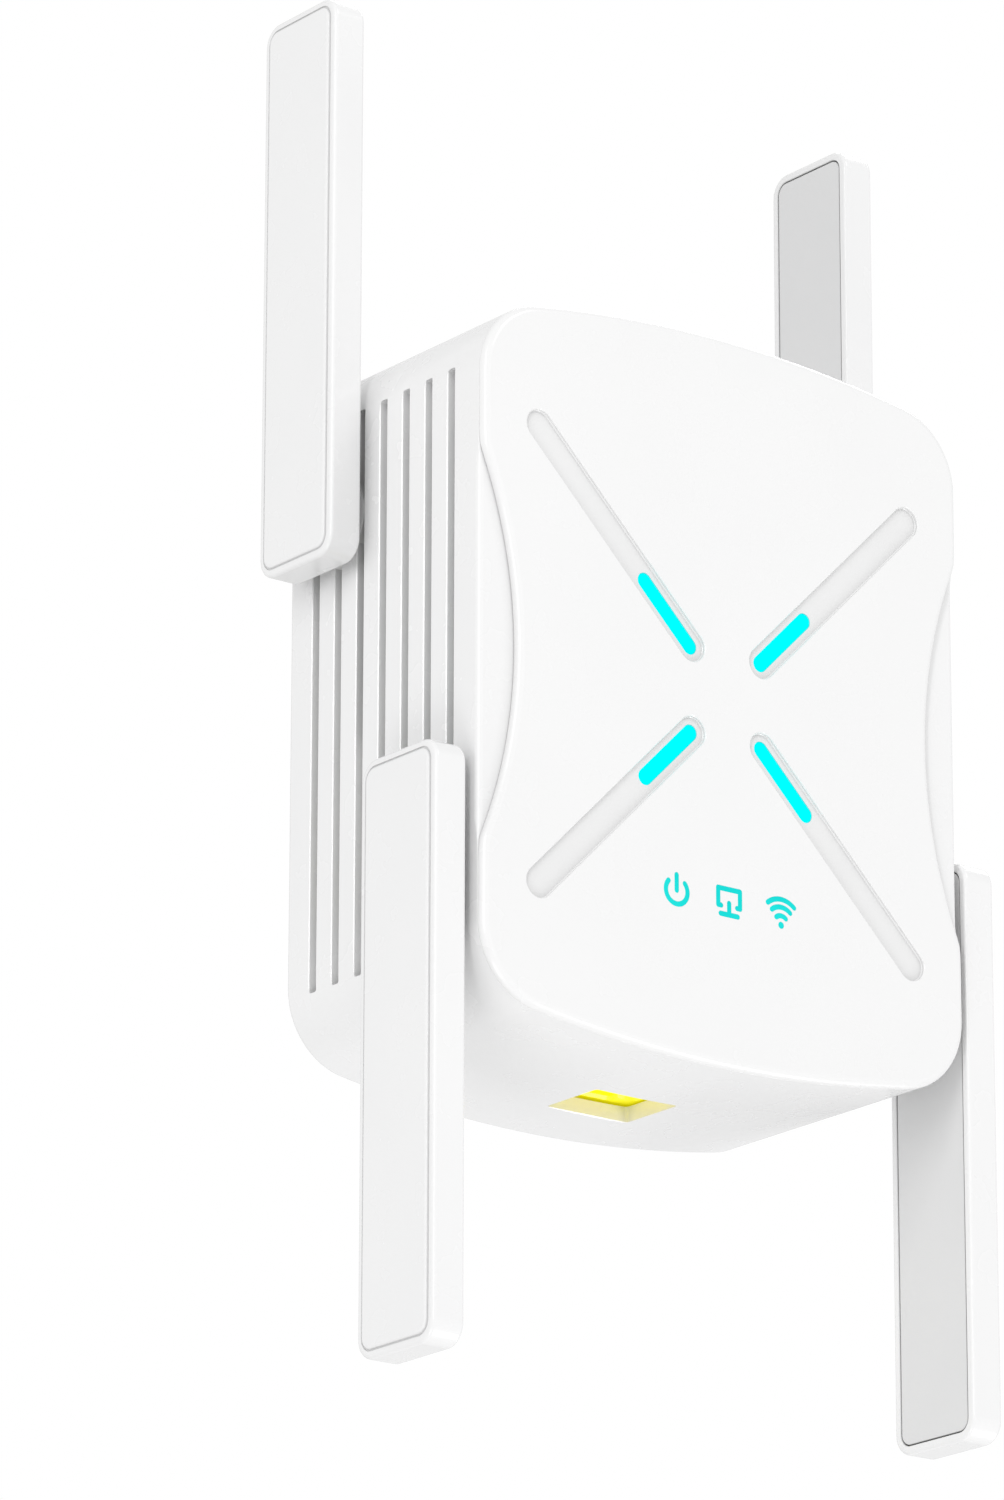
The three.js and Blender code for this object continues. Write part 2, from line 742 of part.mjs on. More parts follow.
function makeScrew() {
  const headFront = -screwHeadHeight;
  const head = cylinderY(screwHeadRadius, headFront, 0, 0, 0);
  const shank = cylinderY(screwShankRadius, headFront - screwLength, headFront + 0.2, 0, 0, 12);
  const [reach, half] = [screwCrossLength / 2, screwCrossWidth / 2];
  const cross = box(-reach, reach, -screwCrossDepth, 1, -half, half)
    .add(box(-half, half, -screwCrossDepth, 1, -reach, reach));
  return head.add(shank).subtract(cross);
}

function makeLabel() {
  const outline = roundedRectangle(labelWidth, labelHeight, labelRadius, 0, labelCentre);
  const back = -labelRecess + seatGap / 2;
  return prismY(outline, back + labelThickness, back);
}

// ---------------------------------------------------------------- boards

function makeBoard(width, rear, bottom, top) {
  return box(-width / 2, width / 2, rear - boardThickness, rear, bottom, top);
}

function makeTransformer() {
  const back = powerBoardFront - seatGap;
  const front = mainBoardRear + transformerFrontGap;
  const right = powerBoardWidth / 2 - transformerFromSide;
  const left = right - transformerWidth;
  const bottom = powerBoardBottom + transformerFromBottom;
  const core = box(left, right, front, back, bottom, bottom + transformerHeight);
  const coil = roundedRectangle(
    coilWidth, coilHeight, 3, (left + right) / 2, bottom + transformerHeight / 2,
  );
  return core.add(prismY(coil, back - coilMargin, front + coilMargin));
}

function makeCapacitor({ x, fromTop }) {
  const back = powerBoardFront - seatGap;
  const front = mainBoardRear + capacitorFrontGap;
  const z = powerBoardTop - fromTop;
  const can = cylinderY(capacitorRadius, front, back, x, z);
  return can.subtract(cylinderY(
    capacitorRadius - capacitorRimWidth, front - 1, front + capacitorRimDepth, x, z,
  ));
}

function makePowerLink() {
  const bottom = powerBoardBottom + linkFromBottom;
  const middle = bottom + linkHeight / 2;
  const front = powerBoardFront - linkHeight;
  const half = linkPinSize / 2;
  const [left, right] = [linkX - linkWidth / 2, linkX + linkWidth / 2];
  const block = box(left, right, front, powerBoardFront - seatGap, bottom, bottom + linkHeight);
  const pins = [-linkPinPitch, 0, linkPinPitch].map((step) => {
    const x = linkX + step;
    return box(x - half, x + half, mainBoardRear + seatGap, front + 2, middle - half, middle + half);
  });
  return joinAll([block, ...pins]);
}

function makeShield() {
  const back = mainBoardFront - seatGap;
  const half = shieldWidth / 2;
  const front = back - shieldDepth;
  const can = box(-half, half, front, back, shieldBottom, shieldTop);
  return can.subtract(box(
    -half + shieldSheet, half - shieldSheet, front + shieldSheet, back + 1,
    shieldBottom + shieldSheet, shieldTop - shieldSheet,
  ));
}

function makeHeatsink() {
  const back = mainBoardFront - seatGap - shieldDepth - seatGap;
  const half = shieldWidth / 2 - heatsinkInset;
  const bottom = shieldBottom + heatsinkInset;
  const top = shieldTop - heatsinkInset;
  const pitch = (2 * half - finThickness) / (finCount - 1);
  let solid = box(-half, half, back - heatsinkBase, back, bottom, top);
  for (let i = 0; i < finCount; i += 1) {
    const x = -half + i * pitch;
    solid = solid.add(box(
      x, x + finThickness, back - heatsinkBase - finHeight, back - heatsinkBase / 2, bottom, top,
    ));
  }
  return solid;
}

// ---------------------------------------------------------------- network socket

const jackHalfWidth = socketWidth / 2 + jackWall;
const jackBottom = jackSeatGap - crownHeight(jackHalfWidth, wall);
const jackTop = jackBottom + jackHeight;
const socketFront = portCentre - (socketDepth + latchDepth) / 2;
const socketBack = socketFront + socketDepth;

function makeJack() {
  const back = socketBack + latchDepth + jackWall;
  const [from, to] = [jackBottom - 1, jackBottom + socketHeight];
  const [socket, latch] = [socketWidth / 2, latchWidth / 2];
  const block = box(-jackHalfWidth, jackHalfWidth, mainBoardRear + seatGap, back, jackBottom, jackTop);
  return block
    .subtract(box(-socket, socket, socketFront, socketBack, from, to))
    .subtract(box(-latch, latch, socketBack - 1, socketBack + latchDepth, from, to));
}

function makeContacts() {
  const top = jackBottom + socketHeight - 0.2;
  const front = socketFront + 0.2;
  const width = contactPitch * (contactCount - 1) + 1.4;
  const bars = [box(-width / 2, width / 2, front, front + 1.1, top - 1.2, top)];
  for (let i = 0; i < contactCount; i += 1) {
    const x = (i - (contactCount - 1) / 2) * contactPitch;
    const wire = new THREE.Shape([
      new THREE.Vector2(front + 0.3, top - 0.4),
      new THREE.Vector2(front + 1.3, top - contactReach - 0.2),
      new THREE.Vector2(front + 1.75, top - contactReach),
      new THREE.Vector2(front + 0.85, top - 0.4),
    ]);
    bars.push(prismX(wire, x - contactWidth / 2, x + contactWidth / 2));
  }
  return joinAll(bars);
}

// ---------------------------------------------------------------- push button

const buttonTop = crownHeight(buttonX) + buttonProud;
const switchTop = mainBoardTop + switchProud;
const switchBottom = switchTop - switchSize;
const actuatorTop = switchTop + actuatorHeight;

function makeButton() {
  const innerWall = crownHeight(buttonX + buttonFlangeRadius, wall);
  const flangeTop = innerWall - buttonClearance;
  const cap = cylinderZ(buttonRadius, flangeTop - 0.5, buttonTop, buttonX, buttonDepth);
  const flange = cylinderZ(buttonFlangeRadius, flangeTop - 0.9, flangeTop, buttonX, buttonDepth);
  const stemBottom = actuatorTop + buttonTravel + 2 * seatGap;
  const stem = cylinderZ(buttonStemRadius, stemBottom, flangeTop - 0.4, buttonX, buttonDepth, 14);
  return joinAll([cap, flange, stem]);
}

function makeSwitch() {
  const half = switchSize / 2;
  const back = buttonDepth + actuatorRadius + 0.7;
  const block = box(buttonX - half, buttonX + half, mainBoardRear + seatGap, back, switchBottom, switchTop);
  return block.add(cylinderZ(actuatorRadius, switchTop - 0.5, actuatorTop, buttonX, buttonDepth, 14));
}

// ---------------------------------------------------------------- antennas

// An antenna is drawn about its own pivot, on the right side of the body and pointing up.
const armCentre = armLength / 2 - armPivotFromEnd;
const coverBack = armInner + seatGap / 2;
const coverFront = coverBack + armCover;
const ledge = coverFront + seatGap;
const cavityTop = armOuter - armPadHeight - armTop;
const stubFlange = cavityTop - ledge - elementInnerGap - elementThickness - elementOuterGap;
const elementFrom = ledge + stubFlange + elementInnerGap;

function armOutline(inset) {
  const radius = Math.max(armCornerRadius - inset, 0.6);
  return roundedRectangle(armWidth - 2 * inset, armLength - 2 * inset, radius, 0, armCentre);
}

function makeArmShell() {
  let solid = prismX(armOutline(0), armInner, armOuter - armPadHeight, armEdgeBevel, 2);
  solid = solid.add(prismX(armOutline(armPadInset), cavityTop + armTop / 2, armOuter, armPadHeight / 2, 1));
  solid = solid.subtract(prismX(armOutline(armWall), armInner - 1, ledge));
  return solid.subtract(prismX(armOutline(armWall + armLedge), armInner - 1, cavityTop));
}

function makeArmCover() {
  const plate = prismX(armOutline(armWall + fitGap), coverBack, coverFront);
  return plate.subtract(cylinderX(stubCollarRadius + fitGap, coverBack - 1, coverFront + 1, 0, 0));
}

function makeStub() {
  const bodyFace = halfWidth + 2 * seatGap;
  const shaft = cylinderX(stubRadius, stubEnd, bodyFace + 0.3, 0, 0);
  const collar = cylinderX(stubCollarRadius, bodyFace, ledge + 0.3, 0, 0);
  const flange = cylinderX(stubFlangeRadius, ledge, ledge + stubFlange, 0, 0);
  const groove = cylinderX(stubRadius + 1, clipInner - clipClearance, clipOuter + clipClearance, 0, 0);
  const core = cylinderX(clipGrooveRadius, clipInner - 1, clipOuter + 1, 0, 0);
  const solid = joinAll([shaft, collar, flange]).subtract(groove.subtract(core));
  return solid.subtract(cylinderX(stubBore, stubEnd - 1, ledge + stubFlange + 1, 0, 0, 10));
}

function makeClip() {
  const opening = 0.7;
  const ring = ringSector(0, 0, clipGrooveRadius + 0.1, clipRadius, opening, 2 * Math.PI - opening, 14);
  return prismX(ring, clipInner, clipOuter);
}

function makeElement() {
  const half = armWidth / 2 - armWall - armLedge - elementSideGap;
  return box(
    elementFrom, elementFrom + elementThickness, -half, half, elementStart, elementStart + elementLength,
  );
}

function makeFeedCable() {
  const lane = elementFrom + elementThickness / 2;
  const bend = 1.1;
  return cable([
    new THREE.Vector3(stubEnd + 0.6, 0, 0),
    new THREE.Vector3((stubEnd + lane) / 2, 0, 0),
    new THREE.Vector3(lane - 2 * bend, 0, 0),
    new THREE.Vector3(lane - bend, 0, 0),
    new THREE.Vector3(lane - 0.3 * bend, 0, 0.3 * bend),
    new THREE.Vector3(lane, 0, bend),
    new THREE.Vector3(lane, 0, elementStart - 0.4),
  ], feedCableRadius);
}

// coaxial leads inside the housing, drawn on the right side: from the stub's end to a board edge
const coaxRoutes = {
  upper: (x, y, z) => [
    new THREE.Vector3(x - 0.5, y, z),
    new THREE.Vector3(x - 2.5, y - 1.2, z + 0.6),
    new THREE.Vector3(x - 4.2, mainBoardRear + 9, z + 3.6),
    new THREE.Vector3(x - 5.6, mainBoardRear + 4, z + 6),
    new THREE.Vector3(x - 8.6, mainBoardRear + 1.2, z + 7),
    new THREE.Vector3(x - 13, mainBoardRear + 1, z + 7),
  ],
  lower: (x, y, z) => [
    new THREE.Vector3(x - 0.5, y, z),
    new THREE.Vector3(x - 2.4, y + 0.3, z - 0.4),
    new THREE.Vector3(x - 5, y + 2.4, z - 1.6),
    new THREE.Vector3(x - 8.4, mainBoardFront - 1.1, z - 2),
    new THREE.Vector3(x - 13, mainBoardFront - 1, z - 2),
  ],
};

// ---------------------------------------------------------------- assembly

const extender = new THREE.Group();

function place(name, solid, material, parent = extender) {
  const mesh = new THREE.Mesh(toGeometry(solid), material);
  mesh.name = name;
  parent.add(mesh);
  return mesh;
}

place('main_housing', makeHousing(), whiteShell);
place('front_panel', makeFrontPanel(), whiteShell);
place('rear_cover', makeRearCover(), whiteSatin);
for (const [corner, angle] of Object.entries(barAngles)) {
  place(`light_bar_${corner}`, makeLightBar(angle), cyanLens);
}
place('icon_light_pipe', makeIconPipe(), cyanLens);
place('led_board', makeLedBoard(), greenBoard);
place('main_board', makeBoard(mainBoardWidth, mainBoardRear, mainBoardBottom, mainBoardTop), greenBoard);
place('rf_shield', makeShield(), nickel);
place('heatsink', makeHeatsink(), aluminium);
place('rj45_jack', makeJack(), yellowSocket);
place('rj45_contacts', makeContacts(), brass);
place(
  'power_board',
  makeBoard(powerBoardWidth, powerBoardRear, powerBoardBottom, powerBoardTop),
  greenBoard,
);
place('transformer', makeTransformer(), darkPlastic);
for (const [side, spot] of Object.entries(capacitorPlaces)) {
  place(`capacitor_${side}`, makeCapacitor(spot), darkPlastic);
}
place('power_link_header', makePowerLink(), darkPlastic);
place('pin_carrier', makeCarrier(), greyCover);
place('rating_label', makeLabel(), labelPaper);
place('wps_switch', makeSwitch(), darkPlastic);
place('wps_button', makeButton(), whiteSatin);

const pin = makePin();
place('plug_pin_left', pin, nickel).position.x = -pinSpacing / 2;
place('plug_pin_right', pin, nickel).position.x = pinSpacing / 2;

const screw = makeScrew();
for (const [height, z] of [['upper', 1], ['lower', -1]]) {
  for (const [side, x] of [['left', -1], ['right', 1]]) {
    place(`cover_screw_${height}_${side}`, screw, nickel).position.set(x * screwBossX, 0, z * screwBossZ);
  }
}

const armPieces = [
  ['shell', makeArmShell(), whiteShell],
  ['cover', makeArmCover(), greyCover],
  ['stub', makeStub(), whiteSatin],
  ['clip', makeClip(), nickel],
  ['element', makeElement(), greenBoard],
  ['cable', makeFeedCable(), cableJacket],
];

for (const [height, hub] of Object.entries(hubs)) {
  const coax = cable(coaxRoutes[height](stubEnd, hub.depth, hub.height), coaxRadius);
  for (const side of ['left', 'right']) {
    const sided = (solid) => (side === 'left' ? mirrored(solid) : solid);
    const antenna = new THREE.Group();
    antenna.position.set(0, hub.depth, hub.height);
    antenna.rotation.x = hub.turn;
    extender.add(antenna);
    for (const [piece, solid, material] of armPieces) {
      place(`antenna_${height}_${side}_${piece}`, sided(solid), material, antenna);
    }
    place(`coax_${height}_${side}`, sided(coax), cableJacket);
  }
}

export default extender;
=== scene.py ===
"""Looks of the plug-in wifi range extender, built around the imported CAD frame.

Lengths are metres, +Z is up, the front looks towards -Y and the rear face lies in the plane y = 0.
"""

import json
import math

import bmesh
import bpy
from mathutils import Matrix, Vector


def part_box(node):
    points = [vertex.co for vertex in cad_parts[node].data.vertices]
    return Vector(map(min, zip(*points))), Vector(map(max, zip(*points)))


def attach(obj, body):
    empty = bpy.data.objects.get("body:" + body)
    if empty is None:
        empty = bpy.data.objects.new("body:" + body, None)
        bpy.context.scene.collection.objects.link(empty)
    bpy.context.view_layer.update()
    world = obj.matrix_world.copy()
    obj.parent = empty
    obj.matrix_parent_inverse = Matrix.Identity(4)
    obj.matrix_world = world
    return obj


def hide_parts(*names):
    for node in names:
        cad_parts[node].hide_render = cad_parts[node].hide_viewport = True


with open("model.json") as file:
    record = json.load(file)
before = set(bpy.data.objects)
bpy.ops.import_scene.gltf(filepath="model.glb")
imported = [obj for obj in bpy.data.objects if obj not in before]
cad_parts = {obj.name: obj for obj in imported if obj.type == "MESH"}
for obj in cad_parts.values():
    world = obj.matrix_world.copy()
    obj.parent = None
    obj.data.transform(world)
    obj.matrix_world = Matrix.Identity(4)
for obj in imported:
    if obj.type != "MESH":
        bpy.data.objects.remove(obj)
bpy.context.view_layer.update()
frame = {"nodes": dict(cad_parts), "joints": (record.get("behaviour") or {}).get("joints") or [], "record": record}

MM = 0.001
CORNERS = ("upper_left", "upper_right", "lower_left", "lower_right")

# ------------------------------------------------------------------ sizes, from the frame and the design

housing_low, housing_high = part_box("main_housing")
half_width = housing_high.x
half_height = housing_high.z
rim_front = housing_low.y
panel_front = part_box("front_panel")[0].y

CROWN_RADIUS = 180 * MM
CORNER_RADIUS = 10 * MM
WALL = 2 * MM
FIT = 0.15 * MM
SCALLOP_DEPTH = 5.3 * MM
SCALLOP_HALF_HEIGHT = 25 * MM
SPIGOT_INSET = 2.4 * MM
SPIGOT_DEPTH = 2.5 * MM
SPIGOT_WALL = 1.5 * MM
PANEL_THICKNESS = 2 * MM
PANEL_EDGE = 1.0 * MM
RIM_THICKNESS = 2 * MM
REAR_EDGE = 0.9 * MM

# the tub's front edge: nearly sharp under the panel, rounder where the waist leaves it bare
RIM_EDGE_SHARP = 0.08 * MM
RIM_EDGE_ADDED = 0.72 * MM
RIM_EDGE_BLEND = 1.2 * MM

COVER_THICKNESS = 2.5 * MM
COVER_POST_RADIUS = 1.8 * MM
COVER_POST_INSET = 2.8 * MM

# the housing's screw bosses, from the centre of the rear face
BOSS_X = 31.6 * MM
BOSS_Z = 33.5 * MM
BOSS_RADIUS = 4.2 * MM
BOSS_REAR = -2.6 * MM
BOSS_FRONT = -36.2 * MM

SLOT_ANGLE = math.radians(45)
SLOT_INNER = 7.8 * MM
SLOT_OUTER = 41 * MM
SLOT_WIDTH = 4 * MM
SLOT_DEPTH = 0.5 * MM
BAR_START = 7.85 * MM
BAR_END = 17.75 * MM
BAR_WIDTH = 2 * MM
BAR_PROUD = 0.15 * MM
BAR_ANGLES = {
    "upper_right": SLOT_ANGLE,
    "upper_left": math.pi - SLOT_ANGLE,
    "lower_left": math.pi + SLOT_ANGLE,
    "lower_right": -SLOT_ANGLE,
}
ICON_PITCH = 8.14 * MM
ICON_HEIGHT = -26.1 * MM
ICON_STROKE = 0.62 * MM
ICON_DOT = 0.42 * MM

VENT_COUNT = 7
VENT_FIRST_FRONT = -6.3 * MM
VENT_PITCH = 4.6 * MM
VENT_WIDTH = 1.4 * MM
VENT_HALF_HEIGHT = 36.4 * MM
VENT_CHAMFER = 0.12 * MM
VENT_CORNER = 0.3 * MM

PORT_WIDTH = 12.6 * MM
PORT_DEPTH = 10 * MM
PORT_CENTRE_Y = -16.9 * MM
PORT_LIP = 0.15 * MM
JACK_FRONT = -21.45 * MM
JACK_CAVITY_WIDTH = 11.9 * MM
JACK_CAVITY_DEPTH = 7.4 * MM
JACK_CAVITY_HEIGHT = 13 * MM
LATCH_WIDTH = 6.2 * MM
LATCH_DEPTH = 3.0 * MM
LATCH_CENTRE = 7.6 * MM

BUTTON_X = 14 * MM
BUTTON_Y = -21.9 * MM
BUTTON_HOLE_RADIUS = 3.2 * MM
BUTTON_CAP_RADIUS = 3 * MM
BUTTON_FLANGE_RADIUS = 4.1 * MM
BUTTON_STEM_RADIUS = 1.4 * MM
BUTTON_FLANGE_THICKNESS = 0.9 * MM
BUTTON_DISH = 0.25 * MM

ARM_WIDTH = 15 * MM
ARM_LENGTH = 73.9 * MM
ARM_PIVOT = 7.1 * MM
ARM_CORNER = 2.8 * MM
ARM_WALL = 1.1 * MM
ARM_INNER_EDGE = 0.5 * MM
ARM_OUTER_EDGE = 0.55 * MM
PAD_INSET = 0.9 * MM
PAD_ROUND = 0.45 * MM
PAD_PROUD = 0.25 * MM
PAD_GROOVE_DEPTH = 0.16 * MM
PAD_GROOVE_WIDTH = 0.22 * MM
ARM_COVER_SEAM = 0.17 * MM
HUB_RADIUS = 6 * MM
STUB_RADIUS = 3.3 * MM
STUB_BORE = 1.6 * MM
COLLAR_RADIUS = 3.9 * MM

PLUG_WIDTH = 25 * MM
PLUG_HEIGHT = 15 * MM
PLUG_CORNER = 4 * MM
PLUG_FLANGE = 2 * MM
BLADE_TAPER = 1.7 * MM
BLADE_HOLE_RADIUS = 1.6 * MM
BLADE_HOLE_FROM_TIP = 5.1 * MM
SCREW_HEAD_RADIUS = 2.6 * MM
SCREW_HEAD_HEIGHT = 1.2 * MM
SCREW_SHANK_RADIUS = 1.15 * MM
SCREW_SINK_RADIUS = 2.85 * MM
SCREW_SINK_DEPTH = 1.3 * MM
LABEL_CORNER = 1 * MM
LABEL_GROOVE_INSET = 1.2 * MM
LABEL_GROOVE_DEPTH = 0.03 * MM

corner_x = half_width - CORNER_RADIUS
crown_z = half_height - CROWN_RADIUS
corner_z = crown_z + math.sqrt((CROWN_RADIUS - CORNER_RADIUS) ** 2 - corner_x**2)
corner_angle = math.atan2(corner_z - crown_z, corner_x)
scallop_radius = (SCALLOP_HALF_HEIGHT**2 + SCALLOP_DEPTH**2) / (2 * SCALLOP_DEPTH)
scallop_centre = half_width - SCALLOP_DEPTH + scallop_radius
hinges = {joint["child"]: joint for joint in frame["joints"] if joint["type"] == "hinge"}


def node_middle(name):
    """The middle of a CAD node's box at rest."""
    return [(low + high) / 2 for low, high in zip(*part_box(name))]


def node_size(name):
    """The width, depth and height of a CAD node's box at rest."""
    return [high - low for low, high in zip(*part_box(name))]


# ------------------------------------------------------------------ outlines


def arc(cx, cz, radius, start, end, steps):
    angles = [start + (end - start) * i / steps for i in range(steps + 1)]
    return [(cx + radius * math.cos(a), cz + radius * math.sin(a)) for a in angles]


def side_line(waist, steps=72):
    """The left side from top to bottom, straight or drawn in to a waist with soft ends."""
    points = []
    soft = 0.3 * MM
    for i in range(1, steps):
        z = corner_z * (1 - 2 * i / steps)
        depth = half_width - scallop_centre + math.sqrt(scallop_radius**2 - z**2)
        depth = (depth + math.sqrt(depth**2 + soft**2)) / 2 if waist else 0
        points.append((-half_width + depth, z))
    return points


def body_outline(waist):
    half = (
        arc(corner_x, corner_z, CORNER_RADIUS, 0, corner_angle, 16)
        + arc(0, crown_z, CROWN_RADIUS, corner_angle, math.pi - corner_angle, 48)[1:-1]
        + arc(-corner_x, corner_z, CORNER_RADIUS, math.pi - corner_angle, math.pi, 16)
        + side_line(waist)
    )
    return half + [(-x, -z) for x, z in half]


def rounded_rectangle(width, height, radius, cx=0.0, cy=0.0, steps=8):
    x, y, quarter = width / 2 - radius, height / 2 - radius, math.pi / 2
    corners = ((x, y, 0), (-x, y, 1), (-x, -y, 2), (x, -y, 3))
    points = []
    for dx, dy, turn in corners:
        points += arc(cx + dx, cy + dy, radius, turn * quarter, (turn + 1) * quarter, steps)
    return points


def circle(radius, cx=0.0, cy=0.0, steps=64):
    return arc(cx, cy, radius, 0, 2 * math.pi, steps)[:-1]


def strip(start, end, width, angle, steps=14):
    """A round-ended strip between two distances from the centre, in one direction."""
    ax, az, quarter = math.cos(angle), math.sin(angle), math.pi / 2
    return arc(end * ax, end * az, width / 2, angle - quarter, angle + quarter, steps) + arc(
        start * ax, start * az, width / 2, angle + quarter, angle + 3 * quarter, steps
    )


def stroke(path, half, steps=6):
    """The outline of a pen stroke along an open path, with round ends and round outer corners."""
    quarter, sharp = math.pi / 2, 0.5
    headings = [math.atan2(bz - az, bx - ax) for (ax, az), (bx, bz) in zip(path, path[1:])]
    lines = {1: [], -1: []}
    for (x, z), before, after in zip(path[1:-1], headings, headings[1:]):
        turn = math.remainder(after - before, 2 * math.pi)
        for side, line in lines.items():
            normal = before + side * quarter
            if abs(turn) > sharp and turn * side < 0:
                line += arc(x, z, half, normal, normal + turn, steps)
            else:
                line += arc(x, z, half / math.cos(turn / 2), normal + turn / 2, normal + turn / 2, 1)[:1]
    start = arc(*path[0], half, headings[0] + quarter, headings[0] + 3 * quarter, steps)
    end = arc(*path[-1], half, headings[-1] - quarter, headings[-1] + quarter, steps)
    return start + lines[-1] + end + lines[1][::-1]


def inward(points):
    """The inward normal at each point of a counter-clockwise outline."""
    count = len(points)
    normals = []
    for i in range(count):
        ax, az = points[i - 1]
        bx, bz = points[(i + 1) % count]
        dx, dz = bx - ax, bz - az
        length = math.hypot(dx, dz) or 1
        normals.append((-dz / length, dx / length))
    return normals


def offset(points, inset):
    """An outline moved in by one distance, or by one distance per point."""
    insets = inset if isinstance(inset, list) else [inset] * len(points)
    return [(x + nx * d, z + nz * d) for (x, z), (nx, nz), d in zip(points, inward(points), insets)]


def fillet(edge, side, radius, steps=6):
    """(inset, place) pairs of a rounded edge, from the face at edge round to the wall; side is +1 or -1."""
    pairs = []
    for i in range(steps + 1):
        angle = math.pi / 2 * i / steps
        pairs.append((radius * (1 - math.sin(angle)), edge + side * radius * (1 - math.cos(angle))))
    return pairs


# ------------------------------------------------------------------ meshes


def ring_y(points, y):
    return [Vector((x, y, z)) for x, z in points]


def ring_x(points, x):
    return [Vector((x, y, z)) for y, z in points]


def ring_z(points, z):
    return [Vector((x, y, z)) for x, y in points]


def new_object(name, bm):
    bmesh.ops.recalc_face_normals(bm, faces=bm.faces)
    mesh = bpy.data.meshes.new(name)
    bm.to_mesh(mesh)
    bm.free()
    piece = bpy.data.objects.new(name, mesh)
    bpy.context.scene.collection.objects.link(piece)
    return piece


def loft(name, rings, closed=False):
    """A skin through rings of equally many points; its ends are capped, or joined when closed."""
    bm = bmesh.new()
    loops = [[bm.verts.new(point) for point in ring] for ring in rings]
    pairs = list(zip(loops, loops[1:]))
    if closed:
        pairs.append((loops[-1], loops[0]))
    for near, far in pairs:
        for i in range(len(near)):
            j = (i + 1) % len(near)
            bm.faces.new((near[i], near[j], far[j], far[i]))
    if not closed:
        bm.faces.new(loops[0])
        bm.faces.new(loops[-1])
    return new_object(name, bm)


def stack(name, ring, points, profile, closed=False):
    """A loft of one outline through (inset, place) pairs."""
    return loft(name, [ring(offset(points, inset), place) for inset, place in profile], closed)


def turned(name, axis, centre, profile, steps=64):
    """A lathe solid about an axis through centre, from (radius, place) pairs that stay off the axis."""
    ring = {"x": ring_x, "y": ring_y, "z": ring_z}[axis]
    return loft(name, [ring(circle(radius, *centre, steps=steps), place) for radius, place in profile])


def apply_modifier(piece, kind, **settings):
    modifier = piece.modifiers.new("step", kind)
    for key, value in settings.items():
        setattr(modifier, key, value)
    evaluated = piece.evaluated_get(bpy.context.evaluated_depsgraph_get())
    mesh = bpy.data.meshes.new_from_object(evaluated)
    piece.modifiers.clear()
    old = piece.data
    piece.data = mesh
    bpy.data.meshes.remove(old)


def boolean(piece, other, operation):
    apply_modifier(piece, "BOOLEAN", object=other, operation=operation, solver="EXACT")
    mesh = other.data
    bpy.data.objects.remove(other)
    bpy.data.meshes.remove(mesh)
    return piece


def merge(pieces):
    """Separate closed shells as one object."""
    bm = bmesh.new()
    for piece in pieces:
        bm.from_mesh(piece.data)
    merged = new_object(pieces[0].name, bm)
    for piece in pieces:
        mesh = piece.data
        bpy.data.objects.remove(piece)
        bpy.data.meshes.remove(mesh)
    return merged


def finish_piece(piece, name, material, slot, body, *replaced, sharp=32):
    """Shading, material and place in the frame for a finished mesh."""
    piece.name = name
    piece.data.name = name
    bm = bmesh.new()
    bm.from_mesh(piece.data)
    bmesh.ops.remove_doubles(bm, verts=bm.verts, dist=1e-7)
    bmesh.ops.dissolve_degenerate(bm, edges=bm.edges, dist=1e-7)
    bmesh.ops.recalc_face_normals(bm, faces=bm.faces)
    bm.to_mesh(piece.data)
    bm.free()
    piece.data.shade_smooth()
    piece.data.set_sharp_from_angle(angle=math.radians(sharp))
    weighted = piece.modifiers.new("normals", "WEIGHTED_NORMAL")
    weighted.keep_sharp = True
    piece.data.materials.clear()
    piece.data.materials.append(material)
    if replaced:
        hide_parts(*replaced)
    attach(piece, body)
    return piece


# ------------------------------------------------------------------ materials


def node(tree, kind, **values):
    made = tree.nodes.new(kind)
    for key, value in values.items():
        if key in made.inputs:
            made.inputs[key].default_value = value
        else:
            setattr(made, key, value)
    return made


def principled(name):
    material = bpy.data.materials.new(name)
    material.use_nodes = True
    tree = material.node_tree
    return material, tree, tree.nodes["Principled BSDF"]


def vary(tree, shader, socket, low, high, scale, detail=3.0, coords="Object"):
    """Drives one socket between two values with soft noise of the given size."""
    place = node(tree, "ShaderNodeTexCoord")
    noise = node(tree, "ShaderNodeTexNoise", Scale=scale, Detail=detail)
    tree.links.new(place.outputs[coords], noise.inputs["Vector"])
    if isinstance(low, tuple):
        ramp = node(tree, "ShaderNodeValToRGB")
        ramp.color_ramp.elements[0].position = 0.3
        ramp.color_ramp.elements[0].color = (*low, 1)
        ramp.color_ramp.elements[1].position = 0.7
        ramp.color_ramp.elements[1].color = (*high, 1)
        tree.links.new(noise.outputs["Fac"], ramp.inputs["Fac"])
        tree.links.new(ramp.outputs["Color"], shader.inputs[socket])
        return noise
    span = node(tree, "ShaderNodeMapRange")
    span.inputs["From Min"].default_value = 0.3
    span.inputs["From Max"].default_value = 0.7
    span.inputs["To Min"].default_value = low
    span.inputs["To Max"].default_value = high
    tree.links.new(noise.outputs["Fac"], span.inputs["Value"])
    tree.links.new(span.outputs["Result"], shader.inputs[socket])
    return noise


def grain(tree, shader, scale, strength, distance):
    place = node(tree, "ShaderNodeTexCoord")
    noise = node(tree, "ShaderNodeTexNoise", Scale=scale, Detail=2.0)
    bump = node(tree, "ShaderNodeBump", Strength=strength, Distance=distance)
    tree.links.new(place.outputs["Object"], noise.inputs["Vector"])
    tree.links.new(noise.outputs["Fac"], bump.inputs["Height"])
    tree.links.new(bump.outputs["Normal"], shader.inputs["Normal"])


